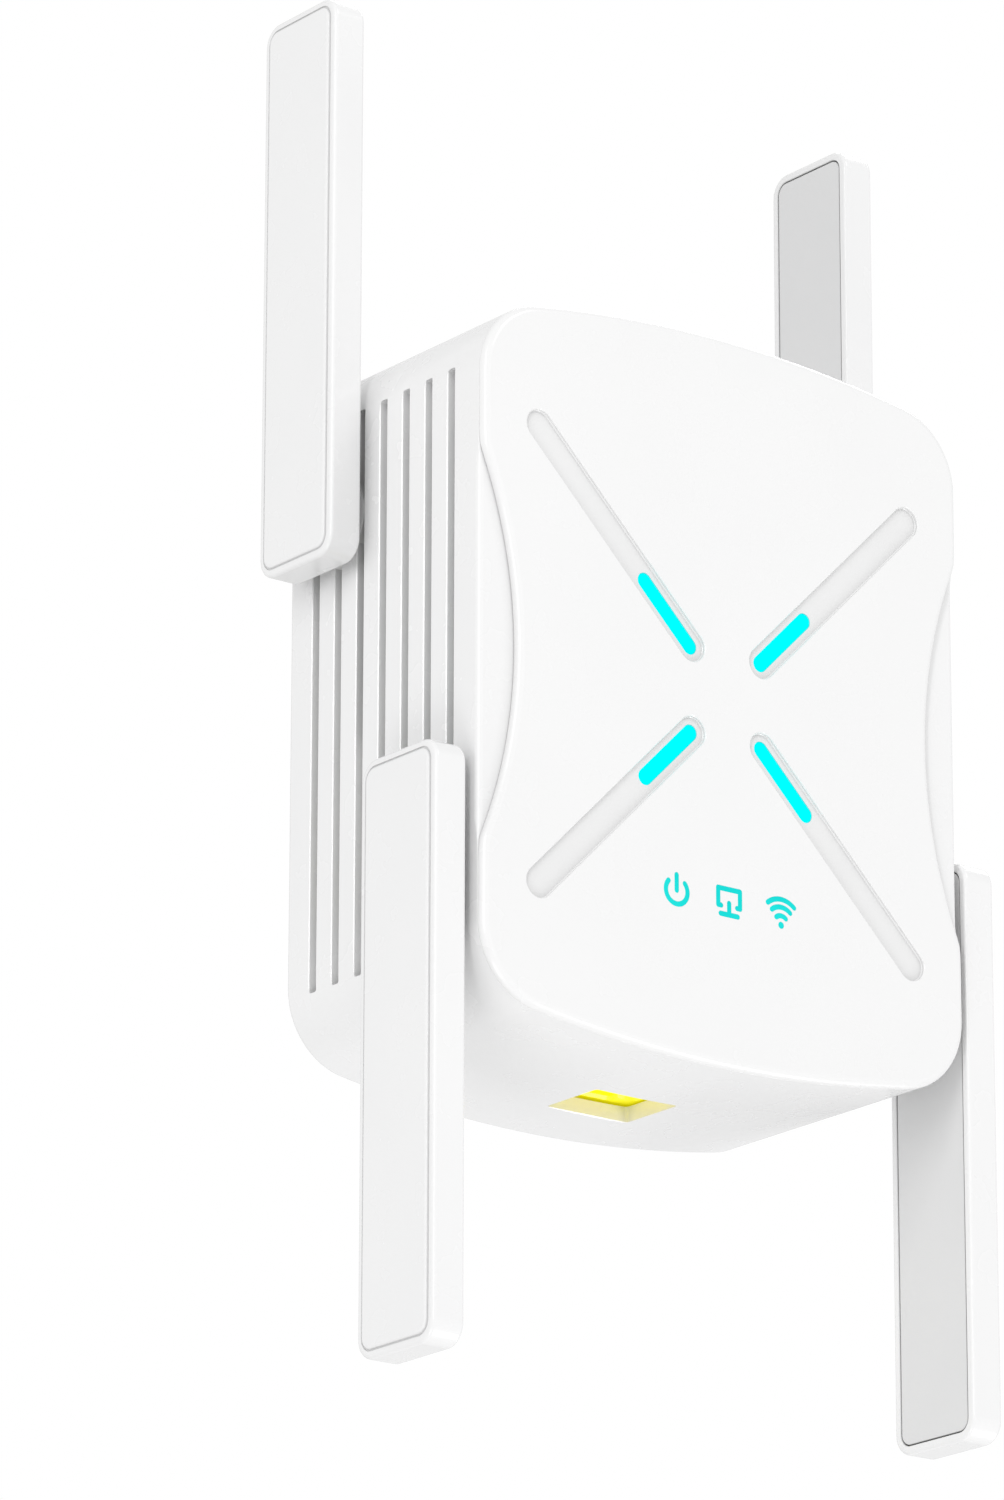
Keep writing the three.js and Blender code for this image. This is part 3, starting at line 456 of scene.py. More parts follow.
def paint_crease_shade(tree, shader, reach, strength):
    """Paints shade into the base colour: darkens it by ambient occlusion in narrow gaps and inner corners."""
    source = shader.inputs["Base Color"].links[0].from_socket
    crease = node(tree, "ShaderNodeAmbientOcclusion", Distance=reach, samples=8)
    blend = node(tree, "ShaderNodeMix", data_type="RGBA")
    blend.inputs[0].default_value = strength
    colour_a, colour_b = [socket for socket in blend.inputs if socket.type == "RGBA"]
    result = next(socket for socket in blend.outputs if socket.type == "RGBA")
    tree.links.new(source, crease.inputs["Color"])
    tree.links.new(source, colour_a)
    tree.links.new(crease.outputs["Color"], colour_b)
    tree.links.new(result, shader.inputs["Base Color"])


def moulded(name, low, high, roughness, grain_scale=2600, grain_strength=0.05, creases=0.0, **constants):
    """Injection-moulded plastic: faint tone drift, uneven gloss and a very fine surface texture, with painted
    shade darkening its creases when a strength is given.
    """
    material, tree, shader = principled(name)
    vary(tree, shader, "Base Color", low, high, 45)
    # painted shade: the base colour is darkened in creases and gaps by ambient occlusion
    if creases:
        paint_crease_shade(tree, shader, 1.6 * MM, creases)
    vary(tree, shader, "Roughness", roughness - 0.035, roughness + 0.035, 160)
    grain(tree, shader, grain_scale, grain_strength, 0.05 * MM)
    for key, value in constants.items():
        shader.inputs[key.replace("_", " ")].default_value = value
    return material


def plated(name, low, high, roughness, scratch=900):
    material, tree, shader = principled(name)
    shader.inputs["Metallic"].default_value = 1.0
    vary(tree, shader, "Base Color", low, high, 300)
    vary(tree, shader, "Roughness", roughness - 0.07, roughness + 0.1, scratch)
    grain(tree, shader, scratch * 2, 0.08, 0.02 * MM)
    return material


def lit(name, low, high, strength):
    """A light pipe seen lit: an even glow that falls off slightly between the lamps behind it."""
    material, tree, shader = principled(name)
    shader.inputs["Roughness"].default_value = 0.4
    shader.inputs["Specular IOR Level"].default_value = 0.0
    shader.inputs["Emission Strength"].default_value = strength
    dim = (0, low[1] * 0.05, low[2] * 0.05)
    bright = (0, high[1] * 0.1, high[2] * 0.1)
    vary(tree, shader, "Base Color", dim, bright, 260)
    vary(tree, shader, "Emission Color", low, high, 260)
    grain(tree, shader, 3000, 0.04, 0.02 * MM)
    return material


# a clear coat, plus painted shade darkening the base colour in creases and gaps
GLOSS_AND_CREASE_SHADE = {"creases": 0.35, "Coat_Weight": 0.3, "Coat_Roughness": 0.12}
white_shell = moulded("white_shell", (0.865, 0.865, 0.867), (0.88, 0.88, 0.88), 0.26, **GLOSS_AND_CREASE_SHADE)
white_panel = moulded("white_panel", (0.87, 0.87, 0.87), (0.88, 0.88, 0.88), 0.26, **GLOSS_AND_CREASE_SHADE)
# the channel floors: a rougher finish, and a base colour painted darker as shade in the recesses
shaded_recess_floor = moulded("shaded_recess_floor", (0.8, 0.8, 0.8), (0.82, 0.82, 0.82), 0.45, 1500, 0.1, creases=0.35)
white_satin = moulded("white_satin", (0.8, 0.8, 0.805), (0.82, 0.82, 0.82), 0.5, 1500, 0.16, creases=0.35)
grey_satin = moulded("grey_satin", (0.73, 0.732, 0.735), (0.75, 0.75, 0.75), 0.5, 1500, 0.14, creases=0.5)
# painted light: the socket's yellow plastic is made to glow though nothing lights it, so it stays bright deep in
# the port
painted_socket_glow = {"Emission_Color": (1.0, 0.9, 0.0, 1.0), "Emission_Strength": 0.3}
yellow_socket = moulded("yellow_socket", (0.93, 0.87, 0.02), (0.97, 0.92, 0.04), 0.3, **painted_socket_glow)
dark_plastic = moulded("dark_plastic", (0.012, 0.012, 0.014), (0.028, 0.028, 0.03), 0.5, 1800, 0.2)
label_film = moulded("label_film", (0.58, 0.59, 0.61), (0.63, 0.64, 0.65), 0.38)
cable_jacket = moulded("cable_jacket", (0.015, 0.015, 0.016), (0.03, 0.03, 0.03), 0.45)
cyan_light = lit("cyan_light", (0.0, 0.94, 0.96), (0.0, 0.98, 0.98), 1.0)
cyan_icon = lit("cyan_icon", (0.01, 0.68, 0.65), (0.02, 0.74, 0.7), 1.0)
nickel_plate = plated("nickel_plate", (0.62, 0.61, 0.58), (0.7, 0.69, 0.66), 0.24)
tin_plate = plated("tin_plate", (0.55, 0.56, 0.57), (0.64, 0.65, 0.66), 0.36)
contact_gold = plated("contact_gold", (0.78, 0.56, 0.2), (0.85, 0.64, 0.28), 0.25)
aluminium = plated("aluminium", (0.6, 0.61, 0.63), (0.68, 0.69, 0.7), 0.42)


def board_material():
    """Solder mask with darker and lighter copper tracks under it."""
    material, tree, shader = principled("circuit_board")
    place = node(tree, "ShaderNodeTexCoord")
    tracks = node(tree, "ShaderNodeTexBrick", Scale=260.0)
    tracks.inputs["Color1"].default_value = (0.012, 0.11, 0.045, 1)
    tracks.inputs["Color2"].default_value = (0.02, 0.17, 0.07, 1)
    tracks.inputs["Mortar"].default_value = (0.05, 0.24, 0.11, 1)
    tracks.inputs["Mortar Size"].default_value = 0.03
    turn = node(tree, "ShaderNodeMapping")
    turn.inputs["Rotation"].default_value = (math.pi / 2, 0, 0)
    tree.links.new(place.outputs["Object"], turn.inputs["Vector"])
    tree.links.new(turn.outputs["Vector"], tracks.inputs["Vector"])
    tree.links.new(tracks.outputs["Color"], shader.inputs["Base Color"])
    vary(tree, shader, "Roughness", 0.3, 0.42, 400)
    grain(tree, shader, 700, 0.1, 0.05 * MM)
    return material


circuit_board = board_material()
SLOT_MATERIALS = {
    "white_shell": white_shell,
    "white_panel": white_panel,
    "white_satin": white_satin,
    "grey_satin": grey_satin,
    "cyan_light": cyan_light,
    "yellow_socket": yellow_socket,
    "dark_plastic": dark_plastic,
    "circuit_board": circuit_board,
    "label_film": label_film,
    "cable_jacket": cable_jacket,
    "nickel_plate": nickel_plate,
    "tin_plate": tin_plate,
    "contact_gold": contact_gold,
    "aluminium": aluminium,
}


# ------------------------------------------------------------------ housing

plain_outline = body_outline(waist=False)
waisted_outline = body_outline(waist=True)


def crown_height(x, inset=0.0):
    return crown_z + math.sqrt((CROWN_RADIUS - inset) ** 2 - x**2)


def make_housing():
    """A tub whose front edge is rounded only where the panel's waist leaves it bare."""
    waist_depth = [abs(a[0] - b[0]) for a, b in zip(plain_outline, waisted_outline)]
    bare = [min(1.0, depth / RIM_EDGE_BLEND) for depth in waist_depth]
    edge = [RIM_EDGE_SHARP + RIM_EDGE_ADDED * share for share in bare]
    spigot = offset(waisted_outline, SPIGOT_INSET)
    rim_back = rim_front + RIM_THICKNESS
    rings = [ring_y(offset(plain_outline, WALL), 0)]
    rings += [ring_y(offset(plain_outline, inset), -place) for inset, place in fillet(0.0, 1, REAR_EDGE)]
    for i in range(6, -1, -1):
        angle = math.pi / 2 * i / 6
        insets = [radius * (1 - math.sin(angle)) for radius in edge]
        outline = offset(plain_outline, insets)
        places = [rim_front + radius * (1 - math.cos(angle)) for radius in edge]
        rings.append([Vector((x, y, z)) for (x, z), y in zip(outline, places)])
    rings.append(ring_y(spigot, rim_front))
    rings.append(ring_y(spigot, rim_back))
    rings.append(ring_y(offset(plain_outline, WALL), rim_back))
    housing = loft("housing", rings, closed=True)

    for sx in (-1, 1):
        for sz in (-1, 1):
            shape = circle(BOSS_RADIUS, sx * BOSS_X, sz * BOSS_Z, 32)
            boolean(housing, stack("boss", ring_y, shape, [(0, BOSS_REAR), (0, BOSS_FRONT)]), "UNION")

    for side in (-1, 1):
        pivots = [joint["pos_m"][1:] for joint in hinges.values() if (joint["pos_m"][0] > 0) == (side > 0)]
        cuts = []
        for i in range(VENT_COUNT):
            middle = VENT_FIRST_FRONT - i * VENT_PITCH + VENT_WIDTH / 2
            shape = rounded_rectangle(VENT_WIDTH, 2 * VENT_HALF_HEIGHT, VENT_CORNER, middle, 0, steps=3)
            profile = [
                (0, side * (half_width - WALL - 0.1 * MM)),
                (0, side * (half_width - VENT_CHAMFER)),
                (-2 * VENT_CHAMFER, side * (half_width + VENT_CHAMFER)),
            ]
            cuts.append(stack("vent", ring_x, shape, profile))
        vents = merge(cuts)
        keep = [(HUB_RADIUS, side * (half_width - 3 * WALL)), (HUB_RADIUS, side * (half_width + WALL))]
        for pivot in pivots:
            boolean(vents, turned("keep", "x", pivot, keep), "DIFFERENCE")
        boolean(housing, vents, "DIFFERENCE")
        hub = [(HUB_RADIUS, side * (half_width - 3.6 * MM)), (HUB_RADIUS, side * (half_width - 0.1 * MM))]
        bore = [
            (STUB_RADIUS + 0.2 * MM, side * (half_width - 5 * MM)),
            (STUB_RADIUS + 0.2 * MM, side * (half_width - 0.3 * MM)),
            (STUB_RADIUS + 0.9 * MM, side * (half_width + 0.4 * MM)),
        ]
        for pivot in pivots:
            boolean(housing, turned("hub", "x", pivot, hub), "UNION")
            boolean(housing, turned("bore", "x", pivot, bore), "DIFFERENCE")

    port = rounded_rectangle(PORT_WIDTH, PORT_DEPTH, 0.5 * MM, 0, PORT_CENTRE_Y)
    profile = [
        (0, -half_height + 2 * WALL),
        (0, -half_height + PORT_LIP),
        (-2 * PORT_LIP, -half_height - PORT_LIP),
    ]
    boolean(housing, stack("port", ring_z, port, profile), "DIFFERENCE")

    top = crown_height(BUTTON_X)
    hole = [
        (BUTTON_HOLE_RADIUS, top - 2 * WALL),
        (BUTTON_HOLE_RADIUS, top - 0.3 * MM),
        (BUTTON_HOLE_RADIUS + 0.7 * MM, top + 0.4 * MM),
    ]
    boolean(housing, turned("hole", "z", (BUTTON_X, BUTTON_Y), hole), "DIFFERENCE")
    finish_piece(housing, "housing_shell", white_shell, "white_shell", "base", "main_housing")


# ------------------------------------------------------------------ front panel, lights and icons


def icon_paths():
    """Centre lines of the power, network and wireless symbols."""
    quarter = math.pi / 2
    x, z, radius, gap = -ICON_PITCH, ICON_HEIGHT - 0.15 * MM, 1.67 * MM, 0.85
    power = [
        arc(x, z, radius, quarter + gap, 5 * quarter - gap, 40),
        [(x, z + 0.05 * MM), (x, z + radius + 0.35 * MM)],
    ]

    # the screen's frame is left open at its lower middle, and the stand hangs below the opening
    side, gap = 1.7 * MM, 1.25 * MM
    top, bottom, foot = (ICON_HEIGHT + height * MM for height in (1.48, -0.69, -1.75))
    screen = [(gap, bottom), (side, bottom), (side, top), (-side, top), (-side, bottom), (-gap, bottom)]
    network = [screen, [(-1.33 * MM, foot), (1.33 * MM, foot)], [(0, foot), (0, ICON_HEIGHT - 0.27 * MM)]]

    x, z, spread = ICON_PITCH, ICON_HEIGHT - 1.55 * MM, 0.68
    waves = [arc(x, z, radius * MM, quarter - spread, quarter + spread, 20) for radius in (1.2, 2.3, 3.3)]
    return power, network, waves, (x, z)


def icon_solids(grow, front, back):
    """The symbols as closed solids between two depths; the network symbol's stand is joined to its foot."""
    power, network, waves, dot = icon_paths()
    solids = []
    for path in power + network + waves:
        shape = stroke(path, ICON_STROKE / 2 + grow)
        solids.append(stack("icon", ring_y, shape, [(0, front), (0, back)]))
    foot = len(power) + 1
    boolean(solids[foot], solids.pop(foot + 1), "UNION")
    solids.append(stack("icon", ring_y, circle(ICON_DOT + grow, *dot, steps=24), [(0, front), (0, back)]))
    return merge(solids)


def make_panel():
    panel_back = panel_front + PANEL_THICKNESS
    spigot_back = rim_front + SPIGOT_DEPTH
    spigot = SPIGOT_INSET + FIT
    seat = rim_front - 0.02 * MM
    profile = fillet(panel_front, 1, PANEL_EDGE, 8)
    profile += [(0, seat - 0.05 * MM), (0.05 * MM, seat), (spigot, seat)]
    profile += [
        (spigot, spigot_back),
        (spigot + SPIGOT_WALL, spigot_back),
        (spigot + SPIGOT_WALL, panel_back),
    ]
    panel = stack("panel", ring_y, waisted_outline, profile)
    floor = panel_front + SLOT_DEPTH
    for angle in BAR_ANGLES.values():
        channel = strip(SLOT_INNER, SLOT_OUTER, SLOT_WIDTH, angle)
        cut = [
            (0.12 * MM, floor),
            (0, floor - 0.12 * MM),
            (0, panel_front + 0.1 * MM),
            (-0.05 * MM, panel_front + 0.06 * MM),
            (-0.2 * MM, panel_front - 0.1 * MM),
        ]
        boolean(panel, stack("channel", ring_y, channel, cut), "DIFFERENCE")
        hole = strip(BAR_START, BAR_END, BAR_WIDTH + 0.1 * MM, angle)
        boolean(panel, stack("hole", ring_y, hole, [(0, floor - MM), (0, panel_back + MM)]), "DIFFERENCE")
    boolean(panel, icon_solids(0.03 * MM, panel_front - 0.5 * MM, panel_front + 0.6 * MM), "DIFFERENCE")
    finish_piece(panel, "front_panel_shell", white_panel, "white_panel", "base", "front_panel")

    # painted shade: the channels' floors get a darker base colour than the panel's face, standing in for shade in
    # the recesses, and a rougher finish
    panel.data.materials.append(shaded_recess_floor)
    for face in panel.data.polygons:
        if face.normal.y < -0.9 and abs(face.center.y - floor) < 0.05 * MM:
            face.material_index = 1


def make_lights():
    floor = panel_front + SLOT_DEPTH
    for corner, angle in BAR_ANGLES.items():
        shape = strip(BAR_START, BAR_END, BAR_WIDTH, angle)
        front = floor - BAR_PROUD
        profile = fillet(front, 1, 0.35 * MM, 5) + [(0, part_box(f"light_bar_{corner}")[1].y)]
        bar = stack("bar", ring_y, shape, profile)
        node_name = f"light_bar_{corner}"
        finish_piece(bar, f"{node_name}_lens", cyan_light, "cyan_light", "base", node_name)
    icons = icon_solids(0, panel_front + 0.01 * MM, panel_front + 0.55 * MM)
    finish_piece(icons, "status_icons", cyan_icon, "cyan_light", "base", "icon_light_pipe")


# ------------------------------------------------------------------ antennas


def arm_place(corner):
    """Moves a mesh drawn about the pivot, on the right and pointing up, to one corner."""
    _, py, pz = hinges[f"antenna_{corner}"]["pos_m"]
    turn = 1 if corner.startswith("upper") else -1
    side = 1 if corner.endswith("right") else -1
    return Matrix.Translation((0, py, pz)) @ Matrix.Diagonal((side, turn, turn, 1))


def make_antenna(corner):
    body = f"antenna_{corner}"
    place = arm_place(corner)
    shell_low, shell_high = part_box(f"antenna_{corner}_shell")
    inner = min(abs(shell_low.x), abs(shell_high.x))
    outer = max(abs(shell_low.x), abs(shell_high.x))
    shape = rounded_rectangle(ARM_WIDTH, ARM_LENGTH, ARM_CORNER, 0, ARM_LENGTH / 2 - ARM_PIVOT, steps=12)

    # from the recess behind the cover, round the shell, to the groove and the pad that stands proud in it
    rim = outer - PAD_PROUD
    groove_floor = rim - PAD_GROOVE_DEPTH
    pad_edge = PAD_INSET + PAD_GROOVE_WIDTH + 0.05 * MM
    profile = [(ARM_WALL, inner + 1.15 * MM), (ARM_WALL, inner + 0.1 * MM), (ARM_WALL - 0.08 * MM, inner)]
    profile += fillet(inner, 1, ARM_INNER_EDGE, 6)
    profile += reversed(fillet(rim, -1, ARM_OUTER_EDGE, 6))
    profile += [
        (PAD_INSET, rim),
        (PAD_INSET + 0.05 * MM, groove_floor),
        (PAD_INSET + PAD_GROOVE_WIDTH, groove_floor),
    ]
    for i in range(7):
        angle = math.pi / 2 * i / 6
        profile.append((pad_edge + PAD_ROUND * (1 - math.cos(angle)), rim + PAD_PROUD * math.sin(angle)))
    shell = stack("shell", ring_x, shape, profile)

    seam = ARM_WALL + ARM_COVER_SEAM
    face = inner + 0.06 * MM
    profile = [(seam, inner + 1.0 * MM), (seam, face + 0.15 * MM)]
    profile += [(seam + 0.04 * MM, face + 0.05 * MM), (seam + 0.15 * MM, face)]
    cover = stack("cover", ring_x, shape, profile)
    hole = [(COLLAR_RADIUS + 0.15 * MM, inner - MM), (COLLAR_RADIUS + 0.15 * MM, inner + 2 * MM)]
    boolean(cover, turned("hole", "x", (0, 0), hole), "DIFFERENCE")

    stub_low, stub_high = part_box(f"antenna_{corner}_stub")
    stub_end = min(abs(stub_low.x), abs(stub_high.x))
    wall_face = half_width + 0.2 * MM
    profile = [
        (STUB_BORE, stub_end),
        (STUB_RADIUS - 0.3 * MM, stub_end),
        (STUB_RADIUS, stub_end + 0.3 * MM),
        (STUB_RADIUS, wall_face),
        (COLLAR_RADIUS - 0.12 * MM, wall_face),
        (COLLAR_RADIUS, wall_face + 0.12 * MM),
        (COLLAR_RADIUS, inner + 1.2 * MM),
        (STUB_BORE, inner + 1.2 * MM),
    ]
    stub = turned("stub", "x", (0, 0), profile)

    made = (
        (shell, "shell", white_shell, "white_shell"),
        (cover, "cover", grey_satin, "grey_satin"),
        (stub, "stub", white_satin, "white_satin"),
    )
    for piece, part, material, slot in made:
        piece.data.transform(place)
        node_name = f"antenna_{corner}_{part}"
        finish_piece(piece, f"{node_name}_skin", material, slot, body, node_name)


# ------------------------------------------------------------------ rear side


def make_rear_cover():
    cover_outline = offset(plain_outline, WALL + FIT)
    profile = [(0, -COVER_THICKNESS), (0, -0.25 * MM), (0.07 * MM, -0.08 * MM), (0.25 * MM, 0)]
    cover = stack("cover", ring_y, cover_outline, profile)
    for board in ("power_board", "main_board"):
        low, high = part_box(board)
        for x in (low.x + COVER_POST_INSET, high.x - COVER_POST_INSET):
            for z in (low.z + COVER_POST_INSET, high.z - COVER_POST_INSET):
                post = circle(COVER_POST_RADIUS, x, z, 28)
                reach = high.y + 0.1 * MM
                boolean(cover, stack("post", ring_y, post, [(0, -1.2 * MM), (0, reach)]), "UNION")

    _, _, middle = node_middle("pin_carrier")
    opening = rounded_rectangle(PLUG_WIDTH + 2 * FIT, PLUG_HEIGHT + 2 * FIT, PLUG_CORNER + FIT, 0, middle)
    chamfer = [(0, -2 * COVER_THICKNESS), (0, -0.25 * MM), (-0.5 * MM, 0.25 * MM)]
    boolean(cover, stack("opening", ring_y, opening, chamfer), "DIFFERENCE")

    width, _, height = node_size("rating_label")
    _, _, middle = node_middle("rating_label")
    recess = rounded_rectangle(width + 2 * FIT, height + 2 * FIT, LABEL_CORNER + FIT, 0, middle)
    bed = [(0, -0.4 * MM), (0, -0.1 * MM), (-0.2 * MM, 0.1 * MM)]
    boolean(cover, stack("recess", ring_y, recess, bed), "DIFFERENCE")

    sink = [
        (1.4 * MM, -2 * COVER_THICKNESS),
        (1.4 * MM, -SCREW_SINK_DEPTH),
        (SCREW_SINK_RADIUS, -SCREW_SINK_DEPTH),
        (SCREW_SINK_RADIUS, -0.25 * MM),
        (SCREW_SINK_RADIUS + 0.45 * MM, 0.2 * MM),
    ]
    for corner in CORNERS:
        x, _, z = node_middle(f"cover_screw_{corner}")
        boolean(cover, turned("sink", "y", (x, z), sink, 48), "DIFFERENCE")
    finish_piece(cover, "rear_cover_shell", white_satin, "white_satin", "base", "rear_cover")


def make_plug():
    low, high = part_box("pin_carrier")
    middle = (low.z + high.z) / 2
    shape = rounded_rectangle(PLUG_WIDTH, PLUG_HEIGHT, PLUG_CORNER, 0, middle, steps=12)
    flange_face = -COVER_THICKNESS - 0.1 * MM
    profile = [(-PLUG_FLANGE, low.y), (-PLUG_FLANGE, flange_face), (0, flange_face)]
    profile += reversed(fillet(0.0, -1, 0.35 * MM, 5))
    carrier = stack("carrier", ring_y, shape, profile)
    for side in ("left", "right"):
        pin_low, pin_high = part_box(f"plug_pin_{side}")
        centre_x = (pin_low.x + pin_high.x) / 2
        width, height = pin_high.x - pin_low.x, pin_high.z - pin_low.z
        slot = rounded_rectangle(width + 0.3 * MM, height + 0.3 * MM, 0.3 * MM, centre_x, middle)
        cut = [(0, low.y - MM), (0, -0.2 * MM), (-0.4 * MM, 0.2 * MM)]
        boolean(carrier, stack("slot", ring_y, slot, cut), "DIFFERENCE")

        blade = rounded_rectangle(width, height, 0.28 * MM, centre_x, middle, steps=4)
        tip = pin_high.y
        rings = [ring_y(blade, pin_low.y), ring_y(blade, tip - BLADE_TAPER)]
        for share in (0.35, 0.7, 1.0):
            squeeze_x = 1 - 0.45 * share**2
            squeeze_z = 1 - 0.46 * share**1.6
            ring = []
            for x, z in blade:
                ring.append((centre_x + (x - centre_x) * squeeze_x, middle + (z - middle) * squeeze_z))
            rings.append(ring_y(ring, tip - BLADE_TAPER * (1 - share)))
        pin = loft("pin", rings)
        hole = [
            (BLADE_HOLE_RADIUS + 0.15 * MM, centre_x - width),
            (BLADE_HOLE_RADIUS, centre_x - 0.45 * MM),
            (BLADE_HOLE_RADIUS, centre_x + 0.45 * MM),
            (BLADE_HOLE_RADIUS + 0.15 * MM, centre_x + width),
        ]
        boolean(pin, turned("eye", "x", (tip - BLADE_HOLE_FROM_TIP, middle), hole, 40), "DIFFERENCE")
        finish_piece(pin, f"plug_blade_{side}", nickel_plate, "nickel_plate", "base", f"plug_pin_{side}")
    finish_piece(carrier, "plug_carrier", grey_satin, "grey_satin", "base", "pin_carrier")


def make_screws():
    """Cross-slot screws with domed heads; each slot narrows towards its floor."""
    dome = 0.5 * MM
    slot_outline = rounded_rectangle(2.9 * MM, 0.6 * MM, 0.1 * MM, 0, 0, steps=2)
    for corner in CORNERS:
        node_name = f"cover_screw_{corner}"
        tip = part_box(node_name)[0].y
        centre_x, _, centre_z = node_middle(node_name)
        profile = [
            (0.4 * MM, tip),
            (SCREW_SHANK_RADIUS, tip + 1.2 * MM),
            (SCREW_SHANK_RADIUS, -SCREW_HEAD_HEIGHT),
            (SCREW_HEAD_RADIUS, -SCREW_HEAD_HEIGHT),
            (SCREW_HEAD_RADIUS, -dome),
        ]
        for angle in (0.35, 0.7, 1.05, 1.3):
            profile.append((SCREW_HEAD_RADIUS * math.cos(angle), -dome + dome * math.sin(angle)))
        screw = turned("screw", "y", (centre_x, centre_z), profile, 40)
        for turn in (0, math.pi / 2):
            cos, sin = math.cos(turn), math.sin(turn)
            rings = []
            for shrink, place in ((0.45, -0.85 * MM), (1.0, 0.1 * MM)):
                ring = []
                for x, z in slot_outline:
                    along = x * shrink
                    ring.append((centre_x + (along * cos - z * sin), centre_z + (along * sin + z * cos)))
                rings.append(ring_y(ring, place))
            boolean(screw, loft("arm", rings), "DIFFERENCE")
        finish_piece(screw, f"{node_name}_head", nickel_plate, "nickel_plate", "base", node_name)


def make_label():
    low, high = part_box("rating_label")
    width, _, height = node_size("rating_label")
    _, _, middle = node_middle("rating_label")
    floor = high.y - LABEL_GROOVE_DEPTH
    shape = rounded_rectangle(width, height, LABEL_CORNER, 0, middle)
    label = stack("label", ring_y, shape, [(0, low.y), (0, floor), (LABEL_GROOVE_DEPTH, high.y)])
    inset = 2 * LABEL_GROOVE_INSET
    frame_line = rounded_rectangle(width - inset, height - inset, 0.6 * MM, 0, middle)
    line, above = 0.25 * MM, high.y + 0.1 * MM
    groove = [(0, floor), (0, above), (line, above), (line, floor)]
    boolean(label, stack("groove", ring_y, frame_line, groove, closed=True), "DIFFERENCE")
    finish_piece(label, "blank_rating_label", label_film, "label_film", "base", "rating_label")


# ------------------------------------------------------------------ socket and button


def make_jack():
    low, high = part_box("rj45_jack")
    width, depth, _ = node_size("rj45_jack")
    _, middle, _ = node_middle("rj45_jack")
    block = rounded_rectangle(width, depth, 0.5 * MM, 0, middle)
    profile = [(0.2 * MM, low.z), (0, low.z + 0.2 * MM), (0, high.z - 0.3 * MM), (0.3 * MM, high.z)]
    jack = stack("jack", ring_z, block, profile)
    cut = [(0, low.z + JACK_CAVITY_HEIGHT), (0, low.z + 0.4 * MM), (-0.5 * MM, low.z - 0.1 * MM)]
    cavities = (
        (JACK_CAVITY_WIDTH, JACK_CAVITY_DEPTH, JACK_FRONT + JACK_CAVITY_DEPTH / 2),
        (LATCH_WIDTH, LATCH_DEPTH, JACK_FRONT + LATCH_CENTRE),
    )
    for width, depth, middle in cavities:
        shape = rounded_rectangle(width, depth, 0.25 * MM, 0, middle)
        boolean(jack, stack("cavity", ring_z, shape, cut), "DIFFERENCE")
    finish_piece(jack, "network_jack", yellow_socket, "yellow_socket", "base", "rj45_jack")


def make_button():
    low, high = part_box("wps_button")
    centre_x, centre_y, _ = node_middle("wps_button")
    shelf = crown_height(BUTTON_X + BUTTON_FLANGE_RADIUS, WALL) - 0.2 * MM
    flange_bottom = shelf - BUTTON_FLANGE_THICKNESS
    profile = [
        (BUTTON_STEM_RADIUS, low.z),
        (BUTTON_STEM_RADIUS, flange_bottom),
        (BUTTON_FLANGE_RADIUS, flange_bottom),
        (BUTTON_FLANGE_RADIUS, shelf),
        (BUTTON_CAP_RADIUS, shelf),
    ]
    for inset, place in reversed(fillet(high.z, -1, 0.45 * MM, 6)):
        profile.append((BUTTON_CAP_RADIUS - inset, place))
    for share in (0.7, 0.5, 0.3, 0.1):
        dish = BUTTON_DISH * math.cos(share * math.pi / 1.7) ** 2
        profile.append((BUTTON_CAP_RADIUS * share, high.z - dish))
    button = turned("button", "z", (centre_x, centre_y), profile)
    finish_piece(button, "push_button_cap", white_satin, "white_satin", "button", "wps_button")


# ------------------------------------------------------------------ build everything

make_housing()
make_panel()
make_lights()
for corner_name in CORNERS:
    make_antenna(corner_name)
make_rear_cover()
make_plug()
make_screws()
make_label()
make_jack()
make_button()

slots = {entry["node"]: entry["material_slot"] for entry in frame["record"]["subparts"]}
for name, part in frame["nodes"].items():
    part.data.materials.clear()
    part.data.materials.append(SLOT_MATERIALS[slots[name]])

# ------------------------------------------------------------------ stage, light and camera

FLOOR_DROP = 1.3
FLOOR_SIZE = 30
AMBIENT = 0.8
bpy.ops.mesh.primitive_plane_add(size=FLOOR_SIZE, location=(0, 0, -FLOOR_DROP))
floor_plane = bpy.context.object
floor_plane.name = "floor"
floor_material, floor_tree, floor_shader = principled("floor_white")
vary(floor_tree, floor_shader, "Base Color", (0.86, 0.86, 0.86), (0.88, 0.88, 0.88), 0.6)
floor_shader.inputs["Roughness"].default_value = 0.8
floor_plane.data.materials.append(floor_material)

# even light from all round, seen by the camera as plain white
world = bpy.data.worlds.new("studio")
world.use_nodes = True
background = world.node_tree.nodes["Background"]
background.inputs["Color"].default_value = (1, 1, 1, 1)
path = node(world.node_tree, "ShaderNodeLightPath")
strength = node(world.node_tree, "ShaderNodeMapRange")
strength.inputs["To Min"].default_value = AMBIENT
strength.inputs["To Max"].default_value = 1.0
world.node_tree.links.new(path.outputs["Is Camera Ray"], strength.inputs["Value"])
world.node_tree.links.new(strength.outputs["Result"], background.inputs["Strength"])
bpy.context.scene.world = world
bpy.context.scene.view_settings.view_transform = "Standard"


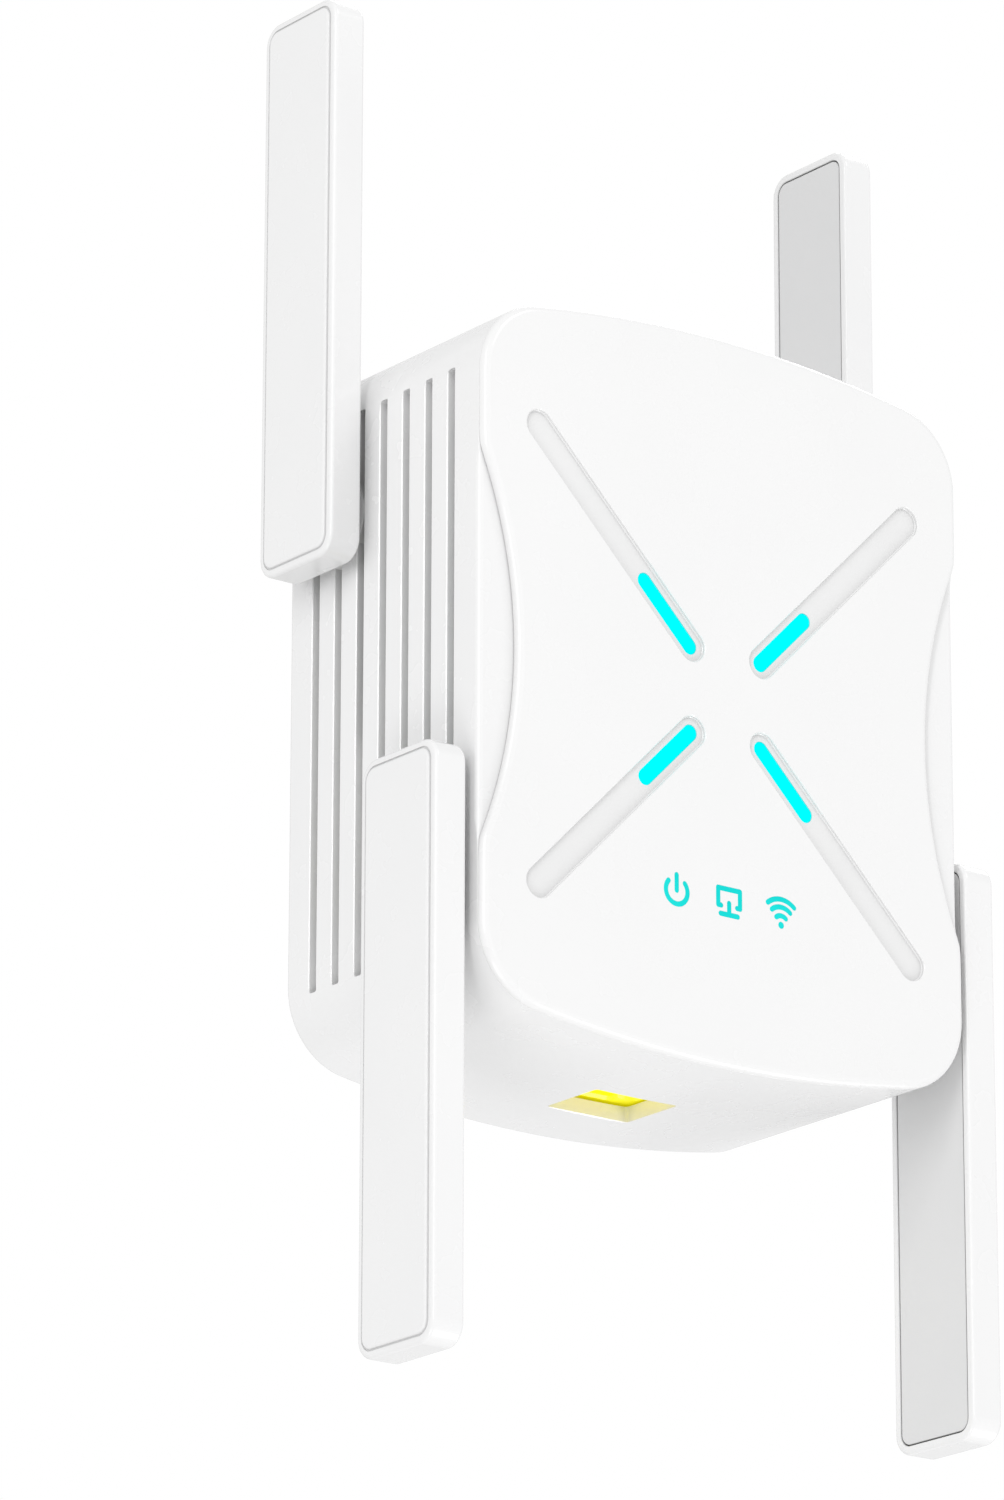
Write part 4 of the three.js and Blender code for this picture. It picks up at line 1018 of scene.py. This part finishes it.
def softbox(name, direction, distance, width, height, watts):
    """A rectangular lamp facing the origin, with its long side upright or along the horizon."""
    data = bpy.data.lights.new(name, "AREA")
    data.shape = "RECTANGLE"
    data.size = width
    data.size_y = height
    data.energy = watts
    lamp = bpy.data.objects.new(name, data)
    bpy.context.scene.collection.objects.link(lamp)
    lamp.location = Vector(direction).normalized() * distance
    lamp.rotation_euler = (-lamp.location).to_track_quat("-Z", "Y").to_euler()


# a soft key from the upper right, and narrow lamps that draw bright lines along the rounded edges
softbox("key", (0.35, -0.85, 0.75), 1.5, 0.45, 0.45, 3.0)
softbox("left_line", (-0.757, -0.577, 0.307), 1.3, 0.12, 0.9, 3.4)
softbox("low_line", (0.577, -0.306, -0.756), 1.2, 0.9, 0.12, 3.4)
softbox("top_line", (0.577, 0.307, 0.757), 1.3, 0.9, 0.12, 3.4)
softbox("low_left", (-0.65, -0.35, -0.75), 1.4, 0.5, 0.5, 3.0)

# the camera stands low on the left and looks up at the front
AZIMUTH = math.radians(-37.34)
ELEVATION = math.radians(-17.87)
ROLL = math.radians(0.13)
DISTANCE = 988.6 * MM
SHIFT_RIGHT = 3.36 * MM
SHIFT_UP = -3.24 * MM
FOCAL_LENGTH = 187.8
FRAME_HEIGHT = 36

back = Vector((
    math.sin(AZIMUTH) * math.cos(ELEVATION),
    -math.cos(AZIMUTH) * math.cos(ELEVATION),
    math.sin(ELEVATION),
))
right = (-back).cross(Vector((0, 0, 1))).normalized()
up = right.cross(-back)
turn_roll = Matrix.Rotation(ROLL, 3, back)
right, up = turn_roll @ right, turn_roll @ up
camera_data = bpy.data.cameras.new("camera")
camera_data.sensor_fit = "VERTICAL"
camera_data.sensor_height = FRAME_HEIGHT
camera_data.lens = FOCAL_LENGTH
camera_data.clip_start = 0.05
camera_data.clip_end = 60
camera = bpy.data.objects.new("camera", camera_data)
bpy.context.scene.collection.objects.link(camera)
spot = back * DISTANCE - right * SHIFT_RIGHT - up * SHIFT_UP
camera.matrix_world = Matrix.Translation(spot) @ Matrix((right, up, back)).transposed().to_4x4()
bpy.context.scene.camera = camera
